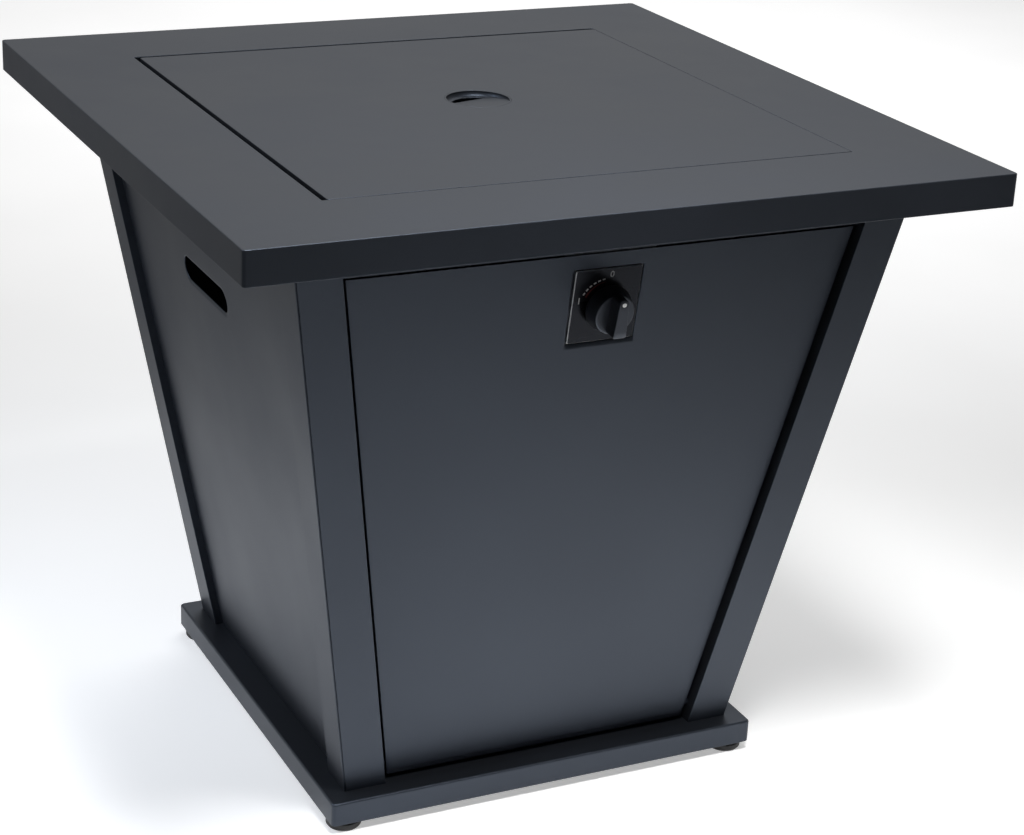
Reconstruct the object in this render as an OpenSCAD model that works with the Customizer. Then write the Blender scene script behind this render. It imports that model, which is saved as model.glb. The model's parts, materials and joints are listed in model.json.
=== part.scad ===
// Square gas fire pit table: an overhanging sheet-metal top with a lift-off lid over the
// fire bowl, on a body that narrows to a plinth, with a control knob in a tilt-out front door.
// Millimetres, +Z up, origin on the floor under the table's centre, front towards -Y.

/* [Table top] */
// Side of the square table top
top_w = 711; // [690:1:760]
// Height of the table above the floor
table_h = 615; // [600:1:660]
// Height of the fascia round the top
fascia_h = 30; // [28:1:36]
// Sheet thickness of the top
top_sheet = 1.5; // [1:0.1:2]
// Radius of the top's vertical corners
top_corner_r = 3; // [2.5:0.1:8]
// Side of the square opening for the lid
opening_w = 503; // [480:1:508]
// Depth of the bowl's ledge below the surface of the top
ledge_drop = 10; // [8:0.5:12]
// Width of the ledge that carries the bowl
ledge_w = 14; // [10:0.5:18]
// Radius of the threaded bosses under the top
boss_r = 8; // [6:0.5:9]
// Height of the threaded bosses under the top
boss_h = 6; // [5:0.5:8]

/* [Lid] */
// Mean gap between the lid and its opening
lid_gap = 2.5; // [2:0.1:4]
// Gap left on the right and at the front, where the lid lies against its opening
lid_rest_gap = 0.5; // [0.3:0.1:2]
// Sheet thickness of the lid
lid_sheet = 1.5; // [1:0.1:2]
// Radius of the lid's vertical corners
lid_corner_r = 2; // [2:0.1:4]
// Diameter of the round finger pull
pull_d = 63; // [56:1:70]
// Distance of the finger pull to the right of the lid's middle
pull_right = 5; // [0:0.5:20]
// Distance of the finger pull behind the lid's middle
pull_back = 13.5; // [0:0.5:20]
// Turn of the finger pull's free edge, in degrees from the lid's front
pull_turn = 14.5; // [0:0.5:45]
// Depth of the finger pull's cup
pull_depth = 18; // [16:0.5:22]
// Wall of the finger pull's cup
pull_wall = 1.5; // [1:0.1:2]
// Depth of the lip that the fingers hook under
pull_lip = 6.3; // [5.5:0.1:8]
// Drop of the pull's sloping floor at its free edge
pull_drop = 4.5; // [3:0.5:5.5]
// Finger gap between the sloping floor and the lip
pull_gap = 18; // [15:0.5:22]
// Reach of the cup under the lid, past the lip
pull_collar = 10; // [8:0.5:14]

/* [Base] */
// Side of the square plinth
base_w = 440; // [430:1:480]
// Height of the plinth
base_h = 23; // [22:0.5:30]
// Sheet thickness of the plinth
base_sheet = 1.5; // [1:0.1:2]
// Diameter of the vent hole under the gas cylinder
vent_d = 150; // [100:1:180]
// Diameter of a levelling foot
foot_d = 33; // [28:1:36]
// Height of the levelling feet
foot_h = 9; // [8:0.5:14]
// Distance of a foot's centre from the plinth's edges
foot_inset = 18; // [17:0.5:24]
// Diameter of a foot's threaded stud
stud_d = 8; // [6:1:10]
// Length of a foot's threaded stud
stud_l = 17; // [14:0.5:18]
// Thickness of the corner plates that the feet screw into
corner_plate = 3; // [2:0.5:4]
// Inner diameter of the ring that holds the gas cylinder's foot
ring_d = 219; // [210:1:230]
// Wall of the cylinder ring
ring_wall = 2.5; // [2:0.5:4]
// Height of the cylinder ring
ring_h = 25; // [22:1:32]
// Diameter of the cylinder's clamping screw
clamp_d = 8; // [6:1:10]
// Distance of the clamping screw's head from the table's centre
clamp_reach = 164; // [160:1:166]

/* [Body] */
// Width of the body where it meets the plinth
body_base_w = 402; // [390:1:410]
// Margin of the body round the lid's opening, where it meets the fascia
body_margin = 41; // [37:0.5:48]
// Width of the corner posts
post_w = 41; // [34:0.5:42]
// Wall of the corner posts
post_wall = 1.5; // [1.2:0.1:2.5]
// Thickness of the posts' foot plates
post_foot = 3; // [2:0.5:5]
// Depth of the panels behind the posts' faces
panel_recess = 8; // [5:0.5:10]
// Sheet thickness of the panels and the door
panel_sheet = 1.2; // [0.8:0.1:1.6]
// Depth of the panels' bent edges
return_w = 18; // [15:0.5:24]
// Thickness of the top rails
rail_sheet = 2; // [1.5:0.1:3]
// Height of the strip of rail that shows above the door
header_h = 28; // [24:1:32]
// Length of the hand slots
slot_w = 118; // [90:1:140]
// Height of the hand slots
slot_h = 24; // [20:0.5:30]
// Depth of the hand slots below the table's surface
slot_drop = 150.5; // [125:0.5:185]

/* [Door] */
// Gap between the door and the posts
door_gap = 5; // [5:0.1:7]
// Gap between the door and the plinth
door_foot_gap = 5; // [4.5:0.1:8]
// Gap between the door and the strip above it
door_head_gap = 2; // [2:0.1:4]
// Depth of the door's bent edges
door_return = 12; // [11:0.5:16]
// Height of the door's pivots above the plinth
pivot_rise = 18; // [16.5:0.5:24]
// Depth of the door's pivots behind the posts' faces
pivot_depth = 14; // [13.5:0.1:15]
// Diameter of the door's pivot pins
pin_d = 6; // [5:0.5:7]
// Distance of the magnetic catches from the door's middle
catch_u = 150; // [100:1:180]

/* [Controls] */
// Depth of the knob's axis below the table's surface, where it meets the door
control_drop = 109; // [107:0.5:115]
// Width of the control plate
plate_w = 64; // [60:1:74]
// Height of the control plate
plate_h = 70; // [60:1:74]
// Thickness of the control plate
plate_t = 2.8; // [2.2:0.1:3.5]
// Gap between the control plate and the door's cut-out
plate_gap = 1; // [0.8:0.1:2]
// Thickness of the control bracket
bracket_t = 2; // [1.5:0.1:3]
// Diameter of the knob's skirt
knob_d = 43; // [40:0.5:48]
// Depth of the knob's skirt
knob_skirt_h = 14; // [9:0.5:16]
// Height of the knob's grip above its skirt
knob_grip_h = 13; // [8:0.5:15]
// Width of the grip at its blunt end
knob_grip_w = 13; // [10:0.5:16]
// Gap behind the knob when it is out
knob_lift = 5.5; // [5:0.1:7]
// Diameter of the valve's stem
stem_d = 8; // [6:0.5:9]
// Width of the valve's body
valve_w = 40; // [36:1:44]
// Height of the valve's body
valve_h = 34; // [30:1:36]
// Depth of the valve's body
valve_l = 36; // [34:1:40]
// Outside diameter of the gas inlet's flare thread
inlet_d = 15.88; // [12:0.01:16]
// Length of the gas inlet
inlet_l = 16; // [12:0.5:20]

/* [Fire bowl and burner] */
// Depth of the fire bowl below its ledge
bowl_depth = 70; // [64:0.5:74]
// Sheet thickness of the fire bowl
bowl_sheet = 1.5; // [1:0.1:2]
// Gap between the fire bowl and its ledge
bowl_gap = 3; // [2:0.5:6]
// Gap between the fire bowl's flange and the lid's opening
bowl_flange_gap = 1; // [0.5:0.1:1.5]
// Diameter of the burner ring at the middle of its tube
burner_d = 290; // [270:1:300]
// Diameter of the burner's tube
burner_tube_d = 16; // [14:0.5:18]
// Wall of the burner's tube
burner_wall = 1.5; // [1:0.1:2]
// Height of the burner above the bowl's floor
burner_lift = 6; // [4:0.5:10]
// Number of gas ports in the burner ring
port_count = 24; // [12:4:32]
// Diameter of the burner's threaded inlet
burner_stem_d = 21; // [18:0.5:22]
// Diameter of the feed pipe
pipe_d = 9.5; // [8:0.1:10]
// Radius of the feed pipe's bends
bend_r = 25; // [20:1:30]
// Distance of the feed pipe's long run from the middle
pipe_x = 80; // [74:1:100]
// Spacing of the lava rocks
rock_pitch = 46; // [44:1:50]
// Usual diameter of a lava rock
rock_d = 38; // [30:1:39]

/* [Hidden] */
$fn = 64;

// Finishes
powder_coat = "#4a4c52";
dark_coat = "#26272a";
black_plastic = "#1b1b1d";
steel = "#a9abad";
brass = "#b08d4a";

// Sides of the body, as quarter turns from the right-hand side
RIGHT = 0;
REAR = 1;
LEFT = 2;
FRONT = 3;

// Clearances and small shared sizes
cut_over = 1;
run_fit = 0.06;
screw_fit = 0.05;
seat_fit = 0.15;
catch_fit = 0.3;
spare = 1;
panel_top_gap = 6;
flange_clear = 4;
bracket_top_gap = 8;

// Heights of the main levels
base_top_z = foot_h + base_h;
fascia_z = table_h - fascia_h;
deck_z = table_h - top_sheet;
ledge_z = table_h - ledge_drop;
lid_seat_z = ledge_z + bowl_sheet;
rail_top_z = deck_z - boss_h;
rail_bottom_z = fascia_z - header_h;
panel_top_z = rail_top_z - panel_top_gap;
return_top_z = rail_bottom_z - door_head_gap;
door_bottom_z = base_top_z + door_foot_gap;
door_top_z = rail_bottom_z - door_head_gap;
bowl_floor_z = ledge_z - bowl_depth;
bowl_inside_z = bowl_floor_z + bowl_sheet;
pivot_z = base_top_z + pivot_rise;
slot_z = table_h - slot_drop;
control_z = table_h - control_drop;

// Width of the body where it meets the fascia, and the lean of its sides
body_top_w = opening_w + 2 * body_margin;
lean_rate = (body_top_w - body_base_w) / 2 / (fascia_z - base_top_z);
lean = atan(lean_rate);

// Half the body's width at a height
function half_w(z) = body_base_w / 2 + (z - base_top_z) * lean_rate;

// Outline of a leaning strip between two depths behind the posts' faces
function strip(d0, d1, z0, z1) = [
    [half_w(z0) - d1, z0], [half_w(z0) - d0, z0],
    [half_w(z1) - d0, z1], [half_w(z1) - d1, z1]];

// Sizes that follow from the driving ones
lid_w = opening_w - 2 * lid_gap;
lid_shift = lid_gap - lid_rest_gap;
bowl_flange_w = opening_w - 2 * bowl_flange_gap;
bowl_w = opening_w - 2 * ledge_w - 2 * bowl_gap;
flange_inner = opening_w / 2 + top_sheet + flange_clear;
rail_depth = panel_recess + panel_sheet;
rail_inner = half_w(rail_top_z) - rail_depth - rail_sheet;
bolt_line = (flange_inner + rail_inner) / 2;
foot_u = base_w / 2 - foot_inset;
post_u = half_w(base_top_z) - post_w / 2;
pull_r = pull_d / 2;
cup_r = pull_r - seat_fit;
cup_inner_r = cup_r - pull_wall;

// Bolts and screws
bolt_r = 3;
bolt_head_r = 5.5;
bolt_head_h = 4;
screw_r = 2;
screw_head_r = 4;
screw_head_h = 2.2;
bolt_u = 150;
screw_u = 140;

// The control frame: +Z out of the door's face, -X up the door, +Y to the right
bracket_face = -rail_sheet * cos(lean);
bracket_back = bracket_face - bracket_t * cos(lean);
plate_face = bracket_face + plate_t;
valve_back = bracket_back - valve_l;
valve_mid = bracket_back - valve_l / 2;
bracket_margin = 11.5;
bracket_w = plate_w + 2 * bracket_margin;
bracket_bottom_z = control_z - plate_h / 2 - 3 * spare;
bracket_top_z = rail_top_z - bracket_top_gap;
control_screw_z = (rail_bottom_z + bracket_top_z) / 2;
neck_wall = 5;
neck_r = stem_d / 2 + neck_wall;
valve_nut_h = 3;
neck_front = plate_face + valve_nut_h;
plunger_wall = 2;
plunger_r = stem_d / 2 + plunger_wall;
plunger_l = 20;
knob_travel = 4;
plunger_back = valve_back + 4 * spare + knob_travel;
plunger_front = plunger_back + plunger_l;
knob_back = plate_face + knob_lift;
knob_front = knob_back + knob_skirt_h + knob_grip_h;
knob_wall = 3;
knob_tip_r = 4.3;
knob_tip_x = knob_d / 2 - knob_tip_r - spare;
stem_grip = 3;
stem_collar = 2;
marker_r = 2;
marker_t = 0.6;
valve_y = -(half_w(control_z) - panel_recess) - valve_mid * cos(lean);
valve_z = control_z - valve_mid * sin(lean);

// Gas fittings
port_wall = 2.25;
port_r = pipe_d / 2 + port_wall;
port_l = 14;
outlet_x = valve_w / 2 + port_l;
elbow_wall = 3.5;
elbow_r = burner_stem_d / 2 + elbow_wall;
elbow_socket = 9;
elbow_x = elbow_r + port_l;
nut_l = 15;
nut_wall = 4;
nut_r = port_r + nut_wall;
nut_grip = 9;
pipe_wall = 1;
port_skin = 2;

// Burner levels
burner_r = burner_tube_d / 2;
burner_z = bowl_inside_z + burner_lift + burner_r;
hub_r = 18;
hub_rise = 4;
hub_top_z = burner_z + burner_r + hub_rise;
hub_foot_wall = 4;
gas_port_r = 1.5;
rest_r = 5;
rest_pad_r = 9;
rest_pad_t = 1.5;
locknut_wall = 7;
locknut_h = 8;
igniter_a = 240;
spark_gap = 12;
igniter_at = burner_d / 2 - burner_r - spark_gap;
igniter_x = igniter_at * cos(igniter_a);
igniter_y = igniter_at * sin(igniter_a);
ceramic_r = 3.5;
ceramic_tail = 12;
ceramic_foot_z = bowl_floor_z - ceramic_tail;
ceramic_collar = 2;
ceramic_collar_h = 2.5;
spark_r = 1;
igniter_plate = 1.5;
igniter_plate_l = 24;
igniter_plate_w = 16;

// Turns a piece drawn on the right-hand side to another side of the body
module at_side(side) rotate([0, 0, 90 * side]) children();

// Places a piece on a wall, with +Z along the wall's outward normal
module on_wall(z, depth, u = 0)
    translate([half_w(z) - depth, u, z]) rotate([0, 90 + lean, 0]) children();

// Places a piece in the control frame
module at_control() at_side(FRONT) on_wall(control_z, panel_recess) children();

// Leaning strip on the right-hand side, as long as the top is wide
module wall_strip(d0, d1, z0, z1)
    rotate([90, 0, 0]) linear_extrude(top_w, center = true) polygon(strip(d0, d1, z0, z1));

// All that lies between two posts' inner walls, less a margin, between two heights
module between(margin, z0, z1)
    rotate([90, 0, 90]) linear_extrude(top_w, center = true)
        polygon([[margin - half_w(z0), z0], [half_w(z0) - margin, z0],
            [half_w(z1) - margin, z1], [margin - half_w(z1), z1]]);

// Leaning slab that fills the width between the posts
module slab(d0, d1, margin, z0, z1)
    intersection() {
        wall_strip(d0, d1, z0, z1);
        between(margin, z0, z1);
    }

// Leaning slab between two distances along the wall
module tile(d0, d1, u0, u1, z0, z1)
    intersection() {
        wall_strip(d0, d1, z0, z1);
        translate([0, u0, z0]) cube([top_w, u1 - u0, z1 - z0]);
    }

module rounded_plate(w, r, z, h)
    translate([0, 0, z]) linear_extrude(h) {
        square([w - 2 * r, w], center = true);
        square([w, w - 2 * r], center = true);
        for (x = [-1, 1], y = [-1, 1])
            translate([x * (w / 2 - r), y * (w / 2 - r)]) circle(r);
    }

module square_block(w, z, h)
    translate([0, 0, z + h / 2]) cube([w, w, h], center = true);

// A round bar between two heights
module bar(r, z0, z1)
    translate([0, 0, z0]) cylinder(r = r, h = z1 - z0);

// A hexagon across its corners between two heights
module hexagon(r, z0, z1)
    translate([0, 0, z0]) cylinder(r = r, h = z1 - z0, $fn = 6);

// Table top

module top_bolt_places()
    for (side = [RIGHT, REAR, LEFT, FRONT], u = [-bolt_u, bolt_u])
        at_side(side) translate([bolt_line, u, 0]) children();

module table_top()
    color(powder_coat) difference() {
        union() {
            difference() {
                rounded_plate(top_w, top_corner_r, fascia_z, fascia_h);
                rounded_plate(top_w - 2 * top_sheet, top_corner_r - top_sheet,
                    fascia_z - cut_over, fascia_h - top_sheet + cut_over);
            }
            square_block(opening_w + 2 * top_sheet, ledge_z - top_sheet, ledge_drop + top_sheet);
            top_bolt_places() bar(boss_r, rail_top_z, deck_z);
        }
        square_block(opening_w, ledge_z, ledge_drop + cut_over);
        square_block(opening_w - 2 * ledge_w, ledge_z - top_sheet - cut_over, ledge_drop);
        top_bolt_places() bar(bolt_r + screw_fit, rail_top_z - cut_over, deck_z - spare);
    }

module top_bolts()
    color(steel) top_bolt_places() {
        bar(bolt_head_r, rail_top_z - rail_sheet - bolt_head_h, rail_top_z - rail_sheet);
        bar(bolt_r, rail_top_z - rail_sheet, deck_z - 2 * spare);
    }

// Lid

module lid_place()
    translate([lid_shift, -lid_shift, 0]) children();

module pull_place()
    lid_place() translate([pull_right, pull_back, 0]) rotate([0, 0, pull_turn]) children();

module lid()
    color(powder_coat) difference() {
        lid_place() difference() {
            rounded_plate(lid_w, lid_corner_r, lid_seat_z, table_h - lid_seat_z);
            rounded_plate(lid_w - 2 * lid_sheet, lid_corner_r - lid_sheet / 2,
                lid_seat_z - cut_over, table_h - lid_sheet - lid_seat_z + cut_over);
        }
        pull_place() bar(pull_r, lid_seat_z, table_h + cut_over);
    }

// A round cup with a lip to hook the fingers under, and half a floor that slopes down to a free edge
module lid_finger_cup() {
    slope = atan(pull_drop / (2 * cup_r - pull_gap - pull_wall));
    ramp_end = cup_inner_r - pull_gap;
    chamber_r = cup_r + pull_collar;
    chamber_top_z = table_h - lid_sheet;
    cup_floor_z = table_h - pull_depth;
    color(powder_coat) pull_place() union() {
        difference() {
            union() {
                bar(chamber_r, cup_floor_z, chamber_top_z);
                bar(cup_r, chamber_top_z - pull_wall, table_h);
            }
            difference() {
                bar(chamber_r - pull_wall, cup_floor_z + pull_wall, chamber_top_z - pull_wall);
                bar(cup_r, table_h - pull_lip, table_h);
            }
            bar(cup_inner_r, cup_floor_z + pull_wall, table_h + cut_over);
        }
        intersection() {
            bar(cup_r - pull_wall / 2, cup_floor_z, table_h);
            translate([-pull_d, -cup_r - pull_wall, cup_floor_z])
                cube([2 * pull_d, cup_r + pull_wall + ramp_end, pull_depth]);
            translate([0, -cup_r, table_h]) rotate([-slope, 0, 0])
                translate([-pull_d, -pull_d, -pull_wall]) cube([2 * pull_d, 3 * pull_d, pull_wall]);
        }
    }
}

// Fire bowl and burner

module fire_bowl()
    color(dark_coat) difference() {
        union() {
            square_block(bowl_flange_w, ledge_z, bowl_sheet);
            square_block(bowl_w, bowl_floor_z, bowl_depth + bowl_sheet);
        }
        square_block(bowl_w - 2 * bowl_sheet, bowl_inside_z, bowl_depth + cut_over);
        bar(burner_stem_d / 2 + seat_fit, bowl_floor_z - cut_over, bowl_inside_z + cut_over);
        translate([igniter_x, igniter_y, 0])
            bar(ceramic_r + seat_fit, bowl_floor_z - cut_over, bowl_inside_z + cut_over);
    }

// Hollow ring with a cross tube, a hub and a threaded inlet that passes the bowl's floor
module burner_ring() {
    stem_r = burner_stem_d / 2;
    arm = burner_d / 2;
    color(steel) difference() {
        union() {
            translate([0, 0, burner_z]) rotate_extrude() translate([arm, 0]) circle(burner_r);
            translate([-arm, 0, burner_z]) rotate([0, 90, 0]) cylinder(r = burner_r - spare, h = 2 * arm);
            bar(hub_r, burner_z - burner_r - spare, hub_top_z);
            bar(stem_r + hub_foot_wall, bowl_inside_z, burner_z);
            bar(stem_r, valve_z + port_r + spare, burner_z);
        }
        translate([0, 0, burner_z]) rotate_extrude() translate([arm, 0]) circle(burner_r - burner_wall);
        translate([-arm, 0, burner_z]) rotate([0, 90, 0])
            cylinder(r = burner_r - spare - burner_wall, h = 2 * arm);
        bar(stem_r - 2 * burner_wall, valve_z, burner_z + burner_r);
        for (i = [0 : port_count - 1])
            rotate([0, 0, (i + 0.5) * 360 / port_count]) translate([arm, 0, 0])
                bar(gas_port_r, burner_z, burner_z + burner_tube_d);
    }
}

module burner_rests()
    color(steel) for (i = [0 : 3])
        rotate([0, 0, 45 + 90 * i]) translate([burner_d / 2, 0, 0]) {
            bar(rest_pad_r, bowl_inside_z, bowl_inside_z + rest_pad_t);
            bar(rest_r, bowl_inside_z, bowl_inside_z + burner_lift - screw_fit);
        }

module burner_locknut()
    color(steel) difference() {
        hexagon(burner_stem_d / 2 + locknut_wall, bowl_floor_z - locknut_h, bowl_floor_z);
        bar(burner_stem_d / 2 + screw_fit, bowl_floor_z - locknut_h - cut_over, bowl_floor_z + cut_over);
    }

module burner_elbow()
    color(brass) difference() {
        union() {
            bar(elbow_r, valve_z - elbow_r, valve_z + port_r + elbow_socket);
            translate([0, 0, valve_z]) rotate([0, 90, 0]) cylinder(r = port_r, h = elbow_x);
        }
        bar(burner_stem_d / 2 + screw_fit, valve_z + port_r + spare,
            valve_z + port_r + elbow_socket + cut_over);
        bar(burner_stem_d / 2 - 2 * burner_wall, valve_z, valve_z + port_r + 2 * spare);
        translate([0, 0, valve_z]) rotate([0, 90, 0])
            cylinder(r = pipe_d / 2 - pipe_wall, h = elbow_x + cut_over);
    }

// Lava rocks in one layer on the bowl's floor, clear of the burner

function rock_chance(i, k) =
    let (s = sin(i * 127.1 + k * 311.7) * 437.5853)
    s - floor(s);

// How much of a rock stands above its middle, how rough and how flat it is, as shares of its size
rock_sit = 0.28;
rock_rough = 0.2;
rock_flat = 0.8;
rock_clear = 14;
golden = (1 + sqrt(5)) / 2;
rock_corners = [[0, 1, golden], [0, -1, golden], [0, 1, -golden], [0, -1, -golden],
    [1, golden, 0], [-1, golden, 0], [1, -golden, 0], [-1, -golden, 0],
    [golden, 0, 1], [-golden, 0, 1], [golden, 0, -1], [-golden, 0, -1]];
rock_faces = [[0, 8, 1], [0, 1, 9], [0, 9, 5], [0, 5, 4], [0, 4, 8], [1, 8, 6], [1, 6, 7],
    [1, 7, 9], [2, 3, 10], [2, 11, 3], [2, 4, 5], [2, 5, 11], [2, 10, 4], [3, 6, 10],
    [3, 7, 6], [3, 11, 7], [4, 10, 8], [5, 9, 11], [6, 8, 10], [7, 11, 9]];

// One rock: an icosahedron with each corner drawn in by chance, flat where it lies
module rock(i) {
    reach = rock_d / 2 / norm(rock_corners[0]);
    points = [for (k = [0 : len(rock_corners) - 1])
        let (p = rock_corners[k] * reach * (1 - rock_rough * rock_chance(i, k)))
        [p[0], p[1], max(0, rock_sit * rock_d + rock_flat * p[2])]];
    polyhedron(points, rock_faces);
}

module lava_rocks() {
    rows = floor((bowl_w - 2 * bowl_sheet) / rock_pitch);
    ring_in = burner_d / 2 - burner_r - rock_d / 2 - 2 * spare;
    ring_out = burner_d / 2 + burner_r + rock_d / 2 + 2 * spare;
    color("#3a3331") for (i = [0 : rows - 1], j = [0 : rows - 1]) {
        x = (i - (rows - 1) / 2) * rock_pitch;
        y = (j - (rows - 1) / 2) * rock_pitch;
        away = norm([x, y]);
        clear_of_tube = abs(y) > burner_r + rock_d / 2 + spare;
        clear_of_spark = norm([x - igniter_x, y - igniter_y]) > rock_d / 2 + rock_clear;
        if (away > ring_out || (away < ring_in && clear_of_tube && clear_of_spark))
            translate([x, y, bowl_inside_z]) rotate([0, 0, 360 * rock_chance(i, j)])
                rock(i * rows + j);
    }
}

// Igniter

module igniter_bracket()
    color(steel) difference() {
        translate([igniter_x, igniter_y, bowl_inside_z + igniter_plate / 2])
            cube([igniter_plate_l, igniter_plate_w, igniter_plate], center = true);
        translate([igniter_x, igniter_y, 0])
            bar(ceramic_r + seat_fit, bowl_inside_z - cut_over, bowl_inside_z + igniter_plate + cut_over);
    }

module igniter_electrode()
    translate([igniter_x, igniter_y, 0]) color("#e8e4da") {
        bar(ceramic_r, ceramic_foot_z, burner_z);
        bar(ceramic_r + ceramic_collar, bowl_inside_z + igniter_plate,
            bowl_inside_z + igniter_plate + ceramic_collar_h);
        bar(spark_r, burner_z, burner_z + burner_r);
    }

// Points and rings of the spark lead, a tube along one cubic curve
lead_r = 1.5;
lead_rings = 16;
lead_sides = 8;
terminal_l = 6;
lead_drop = 30;
lead_sweep = 50;
lead_end = [0, valve_y + (valve_l / 2 + terminal_l) * cos(lean),
    valve_z + (valve_l / 2 + terminal_l) * sin(lean)];
lead_ends = [[igniter_x, igniter_y, ceramic_foot_z], [igniter_x, igniter_y, ceramic_foot_z - lead_drop],
    lead_end + lead_sweep * [0, cos(lean), sin(lean)], lead_end];

function lead_at(t) = pow(1 - t, 3) * lead_ends[0] + 3 * t * pow(1 - t, 2) * lead_ends[1]
    + 3 * t * t * (1 - t) * lead_ends[2] + pow(t, 3) * lead_ends[3];

function lead_way(t) =
    let (d = pow(1 - t, 2) * (lead_ends[1] - lead_ends[0])
        + 2 * t * (1 - t) * (lead_ends[2] - lead_ends[1])
        + t * t * (lead_ends[3] - lead_ends[2]))
    d / norm(d);

function lead_ring(t) =
    let (way = lead_way(t), c = cross(way, [1, 0, 0]), u = c / norm(c), v = cross(way, u))
    [for (k = [0 : lead_sides - 1])
        let (a = 360 * k / lead_sides)
        lead_at(t) + lead_r * (cos(a) * u + sin(a) * v)];

module igniter_lead() {
    points = [for (i = [0 : lead_rings]) each lead_ring(i / lead_rings)];
    around = [for (k = [0 : lead_sides - 1]) k];
    sides = [for (i = [0 : lead_rings - 1], k = around)
        let (a = i * lead_sides, n = (k + 1) % lead_sides)
        each [[a + k, a + lead_sides + n, a + n], [a + k, a + lead_sides + k, a + lead_sides + n]]];
    last = [for (k = around) lead_rings * lead_sides + lead_sides - 1 - k];
    color("#b5462f") polyhedron(points, concat([around], sides, [last]));
}

// Controls

module gas_valve()
    color(brass) at_control() difference() {
        union() {
            translate([0, 0, valve_mid]) cube([valve_h, valve_w, valve_l], center = true);
            bar(neck_r, valve_mid, neck_front);
            translate([0, 0, valve_mid]) rotate([-90, 0, 0]) cylinder(r = port_r, h = outlet_x);
            translate([0, 0, valve_mid]) rotate([90, 0, 0])
                cylinder(r = inlet_d / 2, h = valve_w / 2 + inlet_l);
            bar(lead_r + spare, valve_back - terminal_l, valve_mid);
        }
        bar(plunger_r + run_fit, plunger_back - knob_travel - spare, neck_front + cut_over);
        translate([0, valve_w / 2 - port_skin, valve_mid]) rotate([-90, 0, 0])
            cylinder(r = pipe_d / 2 - pipe_wall, h = port_l + port_skin + cut_over);
        translate([0, port_skin - valve_w / 2, valve_mid]) rotate([90, 0, 0])
            cylinder(r = inlet_d / 4, h = inlet_l + port_skin + cut_over);
    }

module valve_plunger()
    color(steel) at_control() difference() {
        bar(plunger_r, plunger_back, plunger_front);
        bar(stem_d / 2 + run_fit, plunger_back - cut_over, plunger_front + cut_over);
    }

module valve_stem()
    color(steel) at_control() {
        bar(stem_d / 2, plunger_back, knob_back + knob_skirt_h + stem_grip);
        bar(plunger_r - spare / 2, plunger_front + run_fit, plunger_front + stem_collar);
    }

module valve_nut()
    color(steel) at_control() difference() {
        hexagon(neck_r + nut_wall, plate_face, neck_front);
        bar(neck_r + screw_fit, plate_face - cut_over, neck_front + cut_over);
    }

// Skirted knob with a bar grip that narrows to the marker's end
module control_knob() {
    skirt_r = knob_d / 2;
    skirt_front = knob_back + knob_skirt_h;
    color(black_plastic) at_control() difference() {
        union() {
            bar(skirt_r, knob_back, skirt_front);
            translate([0, 0, skirt_front - spare]) linear_extrude(knob_grip_h + spare) {
                translate([-knob_tip_x, 0]) circle(knob_tip_r);
                polygon([[-knob_tip_x, knob_tip_r], [-knob_tip_x, -knob_tip_r],
                    [knob_tip_x, -knob_grip_w / 2], [knob_tip_x, knob_grip_w / 2]]);
            }
        }
        difference() {
            bar(skirt_r - knob_wall, knob_back - cut_over, skirt_front - knob_wall);
            bar(stem_d / 2 + knob_wall, knob_back + knob_wall, skirt_front);
        }
        bar(stem_d / 2 + screw_fit, knob_back - cut_over, skirt_front + stem_grip + screw_fit);
        translate([-knob_tip_x, 0, 0]) bar(marker_r, knob_front - marker_t, knob_front + cut_over);
    }
}

module knob_marker()
    color("white") at_control()
        translate([-knob_tip_x, 0, 0]) bar(marker_r - screw_fit, knob_front - marker_t, knob_front);

module control_plate()
    color("#151517") at_control() difference() {
        translate([0, 0, bracket_face + plate_t / 2]) cube([plate_h, plate_w, plate_t], center = true);
        bar(neck_r + seat_fit, bracket_face - cut_over, plate_face + cut_over);
    }

module control_screw_places()
    for (u = [-bracket_w / 3, bracket_w / 3])
        at_side(FRONT) on_wall(control_screw_z, panel_recess, u) children();

module control_bracket()
    color(steel) difference() {
        at_side(FRONT) tile(panel_recess + rail_sheet, panel_recess + rail_sheet + bracket_t,
            -bracket_w / 2, bracket_w / 2, bracket_bottom_z, bracket_top_z);
        at_control() bar(neck_r + seat_fit, bracket_back - cut_over, plate_face);
        control_screw_places() bar(screw_r + seat_fit, bracket_back - cut_over, bracket_face + cut_over);
    }

module control_screws()
    color(steel) control_screw_places() {
        bar(screw_head_r, bracket_back - screw_head_h, bracket_back);
        bar(screw_r, bracket_back - screw_fit, bracket_face / 2);
    }

// Gas feed

module pipe_run(r)
    translate([0, 0, valve_z]) {
        translate([outlet_x, valve_y, 0]) rotate([0, 90, 0]) cylinder(r = r, h = pipe_x - bend_r - outlet_x);
        translate([pipe_x - bend_r, valve_y + bend_r, 0]) rotate([0, 0, -90])
            rotate_extrude(angle = 90) translate([bend_r, 0]) circle(r);
        translate([pipe_x, valve_y + bend_r, 0]) rotate([-90, 0, 0])
            cylinder(r = r, h = -valve_y - 2 * bend_r);
        translate([pipe_x - bend_r, -bend_r, 0])
            rotate_extrude(angle = 90) translate([bend_r, 0]) circle(r);
        translate([elbow_x, 0, 0]) rotate([0, 90, 0]) cylinder(r = r, h = pipe_x - bend_r - elbow_x);
    }

module feed_pipe()
    color(steel) difference() {
        pipe_run(pipe_d / 2);
        pipe_run(pipe_d / 2 - pipe_wall);
    }

// A flare nut along +X that grips a port and closes on the pipe
module flare_nut()
    rotate([0, 90, 0]) difference() {
        hexagon(nut_r, -nut_grip, nut_l - nut_grip);
        bar(port_r + screw_fit, -nut_grip - cut_over, 0);
        bar(pipe_d / 2 + screw_fit, -cut_over, nut_l);
    }

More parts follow.
